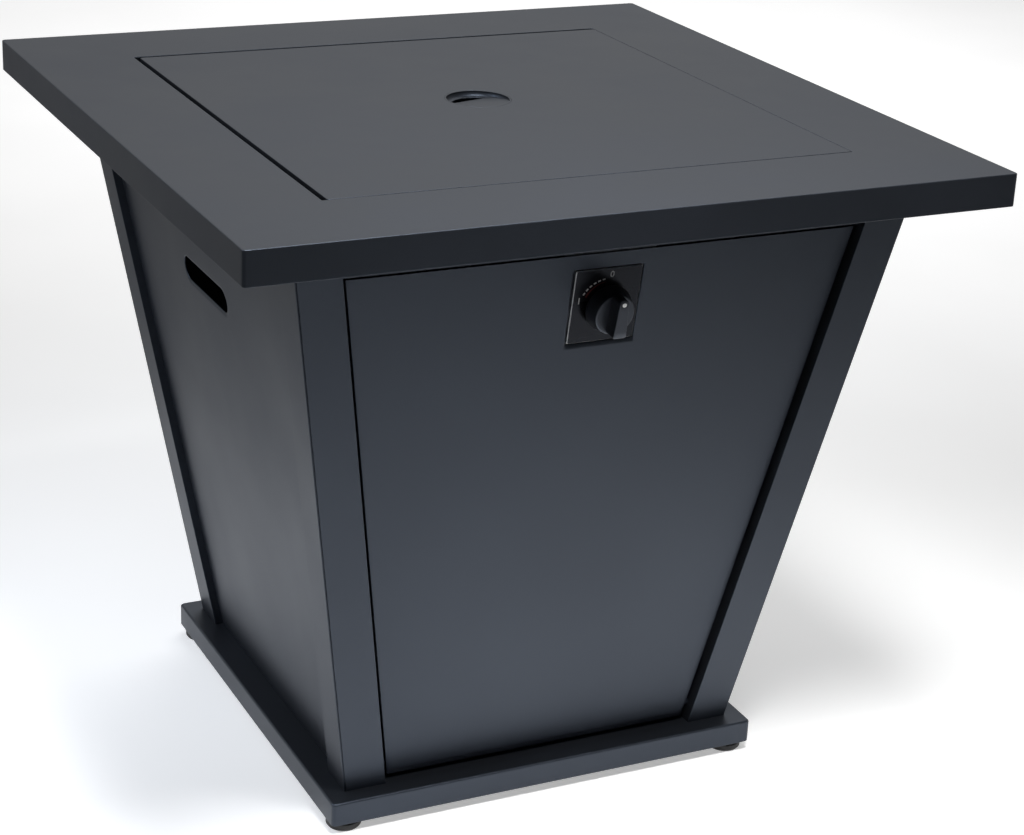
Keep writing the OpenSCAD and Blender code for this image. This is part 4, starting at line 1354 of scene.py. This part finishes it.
    def plate(self) -> Array:
        """Works out the plate's closed section, from the neck's hole to its edge and back.

        Returns:
            A stack of rings on the dial's axes, circles at the hole and rounded rectangles elsewhere.
        """
        back, face = self.face - self.plate_t, self.face
        half = np.array([self.plate_w, self.plate_h]) / 2
        hole = np.array([(self.neck_r, back), (self.neck_r, face), (self.neck_r + self.neck_rim, face)])
        inset = np.array([[self.chamfer + EASED], [self.chamfer], [0], [0]])
        rim = np.column_stack([half - inset, [face, face, face - self.chamfer, back]])
        return holed(hole, rim, self.plate_corner, self.plate_along)

    def cut_edge(self) -> Array:
        """Works out the thin bright skin on the plate's chamfer, a closed section round the plate.

        Returns:
            A stack of rounded rectangles on the dial's axes.
        """
        skin = np.array([(self.chamfer, self.skin_proud), (0, self.skin_proud - self.chamfer),
                         (0, -self.chamfer - self.skin_t), (self.chamfer, -self.skin_t)])
        half = np.array([self.plate_w, self.plate_h]) / 2 - skin[:, :1]
        return square_rings(half, np.full(len(skin), self.plate_corner), self.face + skin[:, 1])

    def sector(self, inner: Array, outer: Array, angle: Array) -> Array:
        """Works out a thin printed band between two radii, as a closed section round its angles.

        Args:
            inner: Inner radius at each angle.
            outer: Outer radius at each angle.
            angle: Angles from the right, in radians.

        Returns:
            The grid, with the section along the columns and its ends closed.
        """
        radius = np.stack([inner, outer, outer, inner], axis=1)
        height = self.face + self.print_t * np.array([0.0, 0.0, 1.0, 1.0])
        band = np.dstack([radius * np.cos(angle)[:, None], radius * np.sin(angle)[:, None],
                          height + 0 * radius])
        ends = [np.repeat(band[i].mean(axis=0)[None, None], band.shape[1], axis=1) for i in (0, -1)]
        return np.concatenate([ends[0], band, ends[1]])

    def dial(self) -> None:
        """Builds the printed dial: ticks from twelve to ten o'clock, two numerals and a red wedge."""
        ticks = Shell()
        for start in np.linspace(*self.tick_starts_deg, self.ticks):
            angle = np.radians(np.linspace(start, start + self.tick_deg, self.tick_steps))
            inner = self.tick_r + 0 * angle
            ticks.add(self.place(self.sector(inner, inner + self.tick_w, angle)))
        fit(ticks.piece("dial_ticks"), Body.FRAME, Slot.WHITE, WHITE_INK)
        angle = np.radians(np.linspace(*self.wedge_deg, self.wedge_steps))
        outer = self.wedge_r + 0 * angle
        width = self.wedge_w * np.linspace(self.wedge_point, 1, angle.size)
        wedge = Shell().add(self.place(self.sector(outer - width, outer, angle)))
        fit(wedge.piece("dial_wedge"), Body.FRAME, Slot.PLATE, RED_INK)
        for text, angle_deg, radius in self.numerals:
            self.numeral(text, np.radians(angle_deg), radius)

    def numeral(self, text: str, angle: float, radius: float) -> None:
        """Builds one printed numeral of the dial from a plain font.

        Args:
            text: The numeral.
            angle: Its angle from the right.
            radius: Its distance from the axis.
        """
        curve = bpy.data.curves.new("numeral", "FONT")
        curve.body, curve.size, curve.extrude = text, self.numeral_h / self.font_share, self.print_t / 2
        curve.align_x, curve.align_y, curve.resolution_u = "CENTER", "CENTER", 3
        source = bpy.data.objects.new("numeral", curve)
        mesh = bpy.data.meshes.new_from_object(source)
        bpy.data.objects.remove(source)
        spot = np.array([radius * np.cos(angle), radius * np.sin(angle), self.face + self.print_t / 2])
        mesh.vertices.foreach_set("co", self.place(mesh_points(mesh) + spot).ravel())
        fit(weld(mesh, "dial_numeral_" + text), Body.FRAME, Slot.WHITE, WHITE_INK)

    def skirt(self) -> Array:
        """Works out the knob's skirt as a turned profile, hollow behind.

        Returns:
            The skirt's grid on the dial's axes.
        """
        lip, deck = self.back, self.back + self.skirt_h
        out, inside = self.skirt_r, self.skirt_r - self.skirt_wall
        under = deck - self.skirt_deck
        return turned(rounded([
            (0, under, 0), (inside - self.skirt_wall, under, self.skirt_fold), (inside, lip, SLIGHT),
            (out, lip, BROKEN), (out, lip + self.skirt_rim, EASED),
            (out - self.skirt_draw, deck, self.skirt_edge), (0, deck, 0)], support=SLIGHT), self.knob_count)

    def grip(self) -> Array:
        """Works out the grip bar, a tapered outline whose sides draw in towards the front.

        Returns:
            A stack of outlines, closed by a point at the back and at the front.
        """
        end, tip, bow = self.tip_at, self.tip_at + self.tip_r, self.tip_r * self.tip_round
        outline = rounded([
            (-self.grip_w / 2, -end, self.grip_corner), (self.grip_w / 2, -end, self.grip_corner),
            (self.tip_r, tip, bow), (-self.tip_r, tip, bow)], closed=True, steps=self.grip_steps)
        foot, front = self.back + self.skirt_h - self.grip_sink, self.front
        height = np.array([foot, foot, foot + self.grip_foot, front - self.grip_brow,
                           front - self.grip_brow / 4, front, front, front])
        width = np.array(self.grip_widths)
        flat = outline * np.column_stack([width, np.minimum(width, 1.0)])[:, None]
        return np.dstack([flat, np.broadcast_to(height[:, None], flat.shape[:2])])


@dataclass
class FireBowl:
    """The pressed fire bowl and its bed of lava rocks.

    Attributes:
        sheet: Sheet thickness of the bowl.
        flange: Width of the bowl's flange.
        stem_r: Radius of the hole for the burner's stem.
        stem_rim: Width of the flat ring round that hole.
        flat: How far in from the walls the floor is one flat sheet.
        corner: Corner radius, seen from above.
        fold: Radius between the bowl's walls and floor.
        brim_fold: Radius between its walls and flange.
        pitch: Spacing of the rocks.
        rows: Rows of rocks.
        rock_steps: Points round and along each rock.
        rock_reach: Least and usual distance from a rock's middle, as shares of its box.
        dents: Dents in each rock.
        dent_w: Least and largest width of a dent.
        dent_d: Least and largest depth of a dent, as shares of its width.
        waves: Waves that make up the ripples.
        wave_turns: How quickly a wave turns over the rock.
        ripple: Height of the ripples.
        seed: Seed of the rocks' shapes.
    """

    sheet: float = 1.5 * MM
    flange: float = 16 * MM
    stem_r: float = 10.65 * MM
    stem_rim: float = 4 * MM
    flat: float = 40 * MM
    corner: float = 8 * MM
    fold: float = 5 * MM
    brim_fold: float = 2 * MM
    pitch: float = 46 * MM
    rows: int = 10
    rock_steps: tuple[int, int] = (28, 18)
    rock_reach: tuple[float, float] = (0.55, 0.98)
    dents: int = 26
    dent_w: tuple[float, float] = (0.12, 0.42)
    dent_d: tuple[float, float] = (0.25, 0.6)
    waves: int = 6
    wave_turns: float = 9
    ripple: float = 0.05
    seed: int = 7

    def build(self) -> None:
        """Builds and dresses the bowl and the rocks."""
        bowl = Shell().add(self.bowl(), close=True).piece("bowl_pressing")
        fit(bowl, Body.FRAME, Slot.BOWL, BOWL_COAT, "fire_bowl")
        shell = Shell()
        for rock in self.rocks():
            shell.add(rock)
        bed = shell.piece("lava_rock_bed", crease_deg=ALL_SMOOTH_DEG)
        fit(bed, Body.FRAME, Slot.LAVA, LAVA, "lava_rocks")

    def bowl(self) -> Array:
        """Works out the bowl's closed section, from the stem's hole up to its flange and back.

        Returns:
            A stack of rings, circles at the hole and rounded squares elsewhere.
        """
        low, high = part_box("fire_bowl")
        out, top, floor = high.x, high.z, low.z
        wall, over, brim = out - self.flange, floor + self.sheet, self.stem_r + self.stem_rim
        inside, flat = wall - self.sheet, wall - self.flat
        middle = np.array([(brim, floor), (self.stem_r, floor), (self.stem_r, over), (brim, over)])
        side = rounded([
            (flat, over, 0), (inside, over, self.fold), (inside, top, self.brim_fold), (out, top, BROKEN),
            (out, top - self.sheet, BROKEN), (wall, top - self.sheet, SOFT),
            (wall, floor, self.fold + self.sheet), (flat, floor, 0)])
        return holed(middle, side, self.corner)

    def rocks(self) -> Array:
        """Works out every lava rock where its solid is.

        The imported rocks' triangles are sorted onto the bed's grid, and each gives a box. A rock is
        an ellipsoid in its box, with the distance from its middle lowered by round dents, each a
        bell curve about a chance direction, and by fine ripples.

        Returns:
            The rocks' grids, shape (rocks, rows, columns, 3).
        """
        points = mesh_points(frame["nodes"]["lava_rocks"].data)
        cell = np.rint(points[:, :2] / self.pitch + (self.rows - 1) / 2).astype(int)
        _, rock = np.unique(cell[:, 0] * self.rows + cell[:, 1], return_inverse=True)
        count = rock.max() + 1
        low, high = np.full((count, 3), np.inf), np.full((count, 3), -np.inf)
        np.minimum.at(low, rock, points)
        np.maximum.at(high, rock, points)
        around, along = self.rock_steps
        turn = np.arange(around) * 2 * np.pi / around
        rise = np.linspace(-np.pi / 2, np.pi / 2, along)[:, None]
        way = np.dstack([np.cos(rise) * np.cos(turn), np.cos(rise) * np.sin(turn),
                         np.sin(rise) + 0 * turn])
        chance = np.random.default_rng(self.seed)
        spots = unit(chance.normal(size=(count, self.dents, 3)))
        width = chance.uniform(*self.dent_w, (count, self.dents, 1, 1))
        depth = chance.uniform(*self.dent_d, (count, self.dents, 1, 1)) * width
        apart = 1 - np.einsum("rdx,ijx->rdij", spots, way)
        bite = (depth * np.exp(-2 * apart / width ** 2)).max(axis=1)
        waves = chance.normal(size=(count, self.waves, 3)) * self.wave_turns
        phase = chance.uniform(0, 2 * np.pi, (count, self.waves, 1, 1))
        ripple = np.sin(np.einsum("rwx,ijx->rwij", waves, way) + phase).mean(axis=1)
        least, usual = self.rock_reach
        reach = np.clip(usual - bite + self.ripple * ripple, least, 1.0)[..., None] * way
        middle, half = (low + high) / 2, (high - low) / 2
        return middle[:, None, None] + reach * half[:, None, None]


@dataclass
class Hardware:
    """Rails, gas fittings, catches and fasteners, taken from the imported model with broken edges.

    Attributes:
        edge: Width of a broken edge.
        lead_r: Radius of the igniter's lead.
        lead_sweep: How far the lead runs straight out of the valve before it turns.
        lead_drop: How far the lead hangs straight down from the electrode before it turns.
        lead_steps: Points along the lead.
        fittings: Finish and nodes of the fittings in each slot.
    """

    edge: float = 0.3 * MM
    lead_r: float = 1.5 * MM
    lead_sweep: float = 50 * MM
    lead_drop: float = 30 * MM
    lead_steps: int = 60
    fittings: dict[Slot, tuple[Finish, str]] = field(default_factory=lambda: {
        Slot.STAINLESS: (STAINLESS, "burner_ring burner_rests feed_pipe igniter_bracket"),
        Slot.BRASS: (BRASS, "burner_elbow gas_valve pipe_nuts"),
        Slot.ZINC: (ZINC, "burner_locknut valve_nut valve_plunger valve_stem control_bracket "
                          "control_screws strike_plates foot_nuts post_bolts panel_screws top_bolts "
                          "tank_screw"),
        Slot.PORCELAIN: (PORCELAIN, "igniter_electrode"),
        # The door's pins are coated too, because bright ones would show at the door's foot
        Slot.COAT: (COAT, "front_rail left_rail right_rail rear_rail door_pins"),
        Slot.PLASTIC: (PLASTIC, "magnet_catches"),
        Slot.BOWL: (BOWL_COAT, "tank_ring")})

    def build(self, controls: Controls) -> None:
        """Copies and dresses every fitting, and carries the igniter's lead along its curve.

        Args:
            controls: The controls, whose axis the lead leaves the valve on.
        """
        listed = frame["record"]["behaviour"]["bodies"]
        bodies = {node: Body(body) for body, nodes in listed.items() for node in nodes}
        for slot, (finish, nodes) in self.fittings.items():
            for node in nodes.split():
                mesh = frame["nodes"][node].data.copy()
                piece = soften(weld(mesh, node + "_fitting", flatten=True), self.edge)
                fit(piece, bodies[node], slot, finish, node)
        lead = Shell().add(tube(self.lead(controls), self.lead_r))
        fit(lead.piece("spark_lead"), Body.FRAME, Slot.SLEEVE, SLEEVE, "igniter_lead")

    def lead(self, controls: Controls) -> Array:
        """Works out the lead's middle line, a cubic curve from the electrode's foot to the valve.

        Args:
            controls: The controls, whose axis gives the way out of the valve.

        Returns:
            Points along the lead.
        """
        low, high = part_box("igniter_electrode")
        start = np.array([(low.x + high.x) / 2, (low.y + high.y) / 2, low.z])
        inward = -controls.axes[2]
        end = controls.origin + inward * self.valve_reach(controls)
        bend = np.stack([start, start - [0, 0, self.lead_drop], end + inward * self.lead_sweep, end])
        share = np.linspace(0, 1, self.lead_steps)[:, None]
        rest = 1 - share
        return (rest ** 3 * bend[0] + 3 * rest ** 2 * share * bend[1] + 3 * rest * share ** 2 * bend[2]
                + share ** 3 * bend[3])

    def valve_reach(self, controls: Controls) -> float:
        """How far the valve reaches in behind the door's face, along the controls' axis."""
        points = mesh_points(frame["nodes"]["gas_valve"].data)
        return -((points - controls.origin) @ controls.axes[2]).min()


# Studio


@dataclass(frozen=True)
class Lamp:
    """A square soft lamp.

    Attributes:
        name: Its name.
        place: Where it hangs.
        target: Where it points.
        size: Its width.
        watts: Its power.
        spread_deg: Angle of its beam.
        colour: Its colour.
    """

    name: str
    place: tuple[float, float, float]
    target: tuple[float, float, float]
    size: float
    watts: float
    spread_deg: float
    colour: str = WHITE

    def hang(self) -> None:
        """Makes the lamp and turns it to its target."""
        data = bpy.data.lights.new(self.name, "AREA")
        data.size, data.energy, data.spread = self.size, self.watts, np.radians(self.spread_deg)
        data.color = to_linear(self.colour)[:3]
        made = bpy.data.objects.new(self.name, data)
        made.location = self.place
        made.rotation_euler = (Vector(self.target) - Vector(self.place)).to_track_quat("-Z", "Y").to_euler()
        bpy.context.scene.collection.objects.link(made)


@dataclass
class Studio:
    """The floor, the lamps, the world and the camera.

    Attributes:
        eye: The camera's place.
        way: The way it looks.
        up: Its upward direction.
        lens_mm: Its focal length.
        sensor_mm: Width of its sensor.
        lamps: The lamps.
        floor_half: Half the floor's width.
        floor_points: Points along each side of the floor.
        floor_glow: Strength of the floor's painted glow, the white that it adds to what is seen of it.
        glow_line_left: Way across the line that the painted glow reaches on the left, and the line's place.
        glow_line_front: The same for the line that the painted glow reaches in front.
        glow_fade: Width over which the painted glow fades beyond those lines, which leaves the floor darker there
            as painted shade.
        glow_far: Distances from the table between which the painted glow comes back.
        room: Strength of the room's even light.
        front_pale: How much paler the room's front looks, straight or in a gloss or a glass.
        rear_pale: How much paler its rear looks.
        rear_turn: How far to each side of the middle the rear goes over into the front.
    """

    eye: tuple[float, float, float] = (-0.9283, -1.9639, 1.1689)
    way: tuple[float, float, float] = (0.41493, 0.83072, -0.37114)
    up: tuple[float, float, float] = (0.12337, 0.35277, 0.92754)
    lens_mm: float = 83.94
    sensor_mm: float = 36.0
    lamps: tuple[Lamp, ...] = (
        Lamp("front_lamp", (-0.1, -0.75, 2.0), (0.0, -0.4, 0.0), 0.5, 6.0, 54),
        Lamp("left_lamp", (-1.3, 0.1, 1.3), (-0.3, 0.1, 0.0), 0.6, 2.4, 70, "#ebf3ff"),
        Lamp("rear_right_softbox", (1.25, 2.2, 2.8), (1.25, 2.2, 0.0), 2.4, 36, 120))
    floor_half: float = 30.0
    floor_points: int = 5
    # Painted glow on the floor: its strength, and the lines past which it fades to a darker floor as painted shade
    floor_glow: float = 0.42
    glow_line_left: tuple[tuple[float, float, float], float] = ((1.0, -0.256, 0.0), -0.473)
    glow_line_front: tuple[tuple[float, float, float], float] = ((0.4, 1.0, 0.0), -0.305)
    glow_fade: float = 0.15
    glow_far: tuple[float, float] = (3.5, 5.5)
    room: float = 0.042
    front_pale: float = 0.13
    rear_pale: float = 0.4
    rear_turn: float = 0.35

    def build(self) -> None:
        """Builds the whole studio."""
        self.camera()
        self.floor()
        self.world()
        for lamp in self.lamps:
            lamp.hang()
        bpy.context.scene.view_settings.view_transform = "Standard"

    def camera(self) -> None:
        """Puts the camera where the photograph was taken from."""
        way, up = Vector(self.way).normalized(), Vector(self.up)
        right = way.cross(up).normalized()
        up = right.cross(way)
        data = bpy.data.cameras.new("camera")
        data.lens, data.sensor_width = self.lens_mm, self.sensor_mm
        made = bpy.data.objects.new("camera", data)
        turn = Matrix((right, up, -way)).transposed().to_4x4()
        made.matrix_world = Matrix.Translation(self.eye) @ turn
        bpy.context.scene.collection.objects.link(made)
        bpy.context.scene.camera = made

    def floor(self) -> None:
        """Lays the white floor, with a faint mottle and a painted glow, which keeps the table's shadow."""
        share = np.linspace(-self.floor_half, self.floor_half, self.floor_points)
        x, y = np.meshgrid(share, share)
        floor = Shell().add(np.dstack([x, y, 0 * x]), wrap=False).piece("floor", (0, 0, 1))
        material = FLOOR_PAINT.material()
        tree = material.node_tree
        shader = tree.nodes["Principled BSDF"]
        shader.inputs["Emission Color"].default_value = to_linear(WHITE)
        # The floor's emission is a painted glow: white round the table, fading to a darker floor on the left and
        # in front
        tree.links.new(self.glow(tree), shader.inputs["Emission Strength"])
        floor.data.materials.append(material)

    def glow(self, tree: bpy.types.NodeTree) -> bpy.types.NodeSocket:
        """Works out the floor's painted glow, the white that it shows the camera, straight or in a gloss or a
        glass.

        It is even round the table, fades out smoothly past one line on the left and one in front, which leaves the
        floor darker there as painted shade, and comes back far from the table.

        Args:
            tree: The floor material's node tree.

        Returns:
            The strength's socket.
        """
        where = add_node(tree, "TexCoord").outputs["Object"]
        strength: Link = 1.0
        for across, place in (self.glow_line_left, self.glow_line_front):
            reach = add_node(tree, "VectorMath", {0: where, 1: across}, operation="DOT_PRODUCT")
            fade = add_node(tree, "MapRange", {
                "Value": reach.outputs["Value"], "From Min": place - self.glow_fade, "From Max": place},
                interpolation_type="SMOOTHSTEP").outputs["Result"]
            strength = add_node(tree, "Math", {0: fade, 1: strength}, operation="MULTIPLY").outputs[0]
        away = add_node(tree, "VectorMath", {0: where}, operation="LENGTH").outputs["Value"]
        far = add_node(tree, "MapRange", {
            "Value": away, "From Min": self.glow_far[0], "From Max": self.glow_far[1]},
            interpolation_type="SMOOTHSTEP").outputs["Result"]
        strength = add_node(tree, "Math", {0: strength, 1: far}, operation="MAXIMUM").outputs[0]
        for share in (self.floor_glow, self.seen(tree)):
            strength = add_node(tree, "Math", {0: strength, 1: share}, operation="MULTIPLY").outputs[0]
        return strength

    def seen(self, tree: bpy.types.NodeTree) -> bpy.types.NodeSocket:
        """Tells whether the camera looks at something, straight or in a gloss or a glass.

        Args:
            tree: A material's or the world's node tree.

        Returns:
            A socket that is one where it does, and none elsewhere.
        """
        rays = add_node(tree, "LightPath").outputs
        seen = rays["Is Camera Ray"]
        for ray in ("Is Glossy Ray", "Is Transmission Ray"):
            seen = add_node(tree, "Math", {0: seen, 1: rays[ray]}, operation="MAXIMUM").outputs[0]
        return seen

    def world(self) -> None:
        """Fills the room with an even, dim light, and lets it look paler, most of all at the rear."""
        world = bpy.data.worlds.new("room")
        bpy.context.scene.world = world
        world.use_nodes = True
        tree = world.node_tree
        tree.nodes["Background"].inputs["Color"].default_value = to_linear(WHITE)
        way = add_node(tree, "TexCoord").outputs["Generated"]
        rear = add_node(tree, "VectorMath", {0: way, 1: (0.0, 1.0, 0.0)}, operation="DOT_PRODUCT")
        pale = add_node(tree, "MapRange", {
            "Value": rear.outputs["Value"], "From Min": -self.rear_turn, "From Max": self.rear_turn,
            "To Min": self.front_pale, "To Max": self.rear_pale},
            interpolation_type="SMOOTHSTEP").outputs["Result"]
        shown = add_node(tree, "Math", {0: pale, 1: self.seen(tree), 2: self.room},
                         operation="MULTIPLY_ADD")
        tree.links.new(shown.outputs[0], tree.nodes["Background"].inputs["Strength"])


def main() -> None:
    """Builds the studio, then the table piece by piece."""
    logging.basicConfig(level=logging.INFO, format="%(message)s")
    Studio().build()
    lean, controls = Lean(), Controls()
    TableTop().build()
    Lid().build()
    Posts(lean).build()
    Panels(lean).build(controls.origin[2])
    Plinth().build()
    controls.build()
    FireBowl().build()
    Hardware().build(controls)


if __name__ == "__main__":
    main()
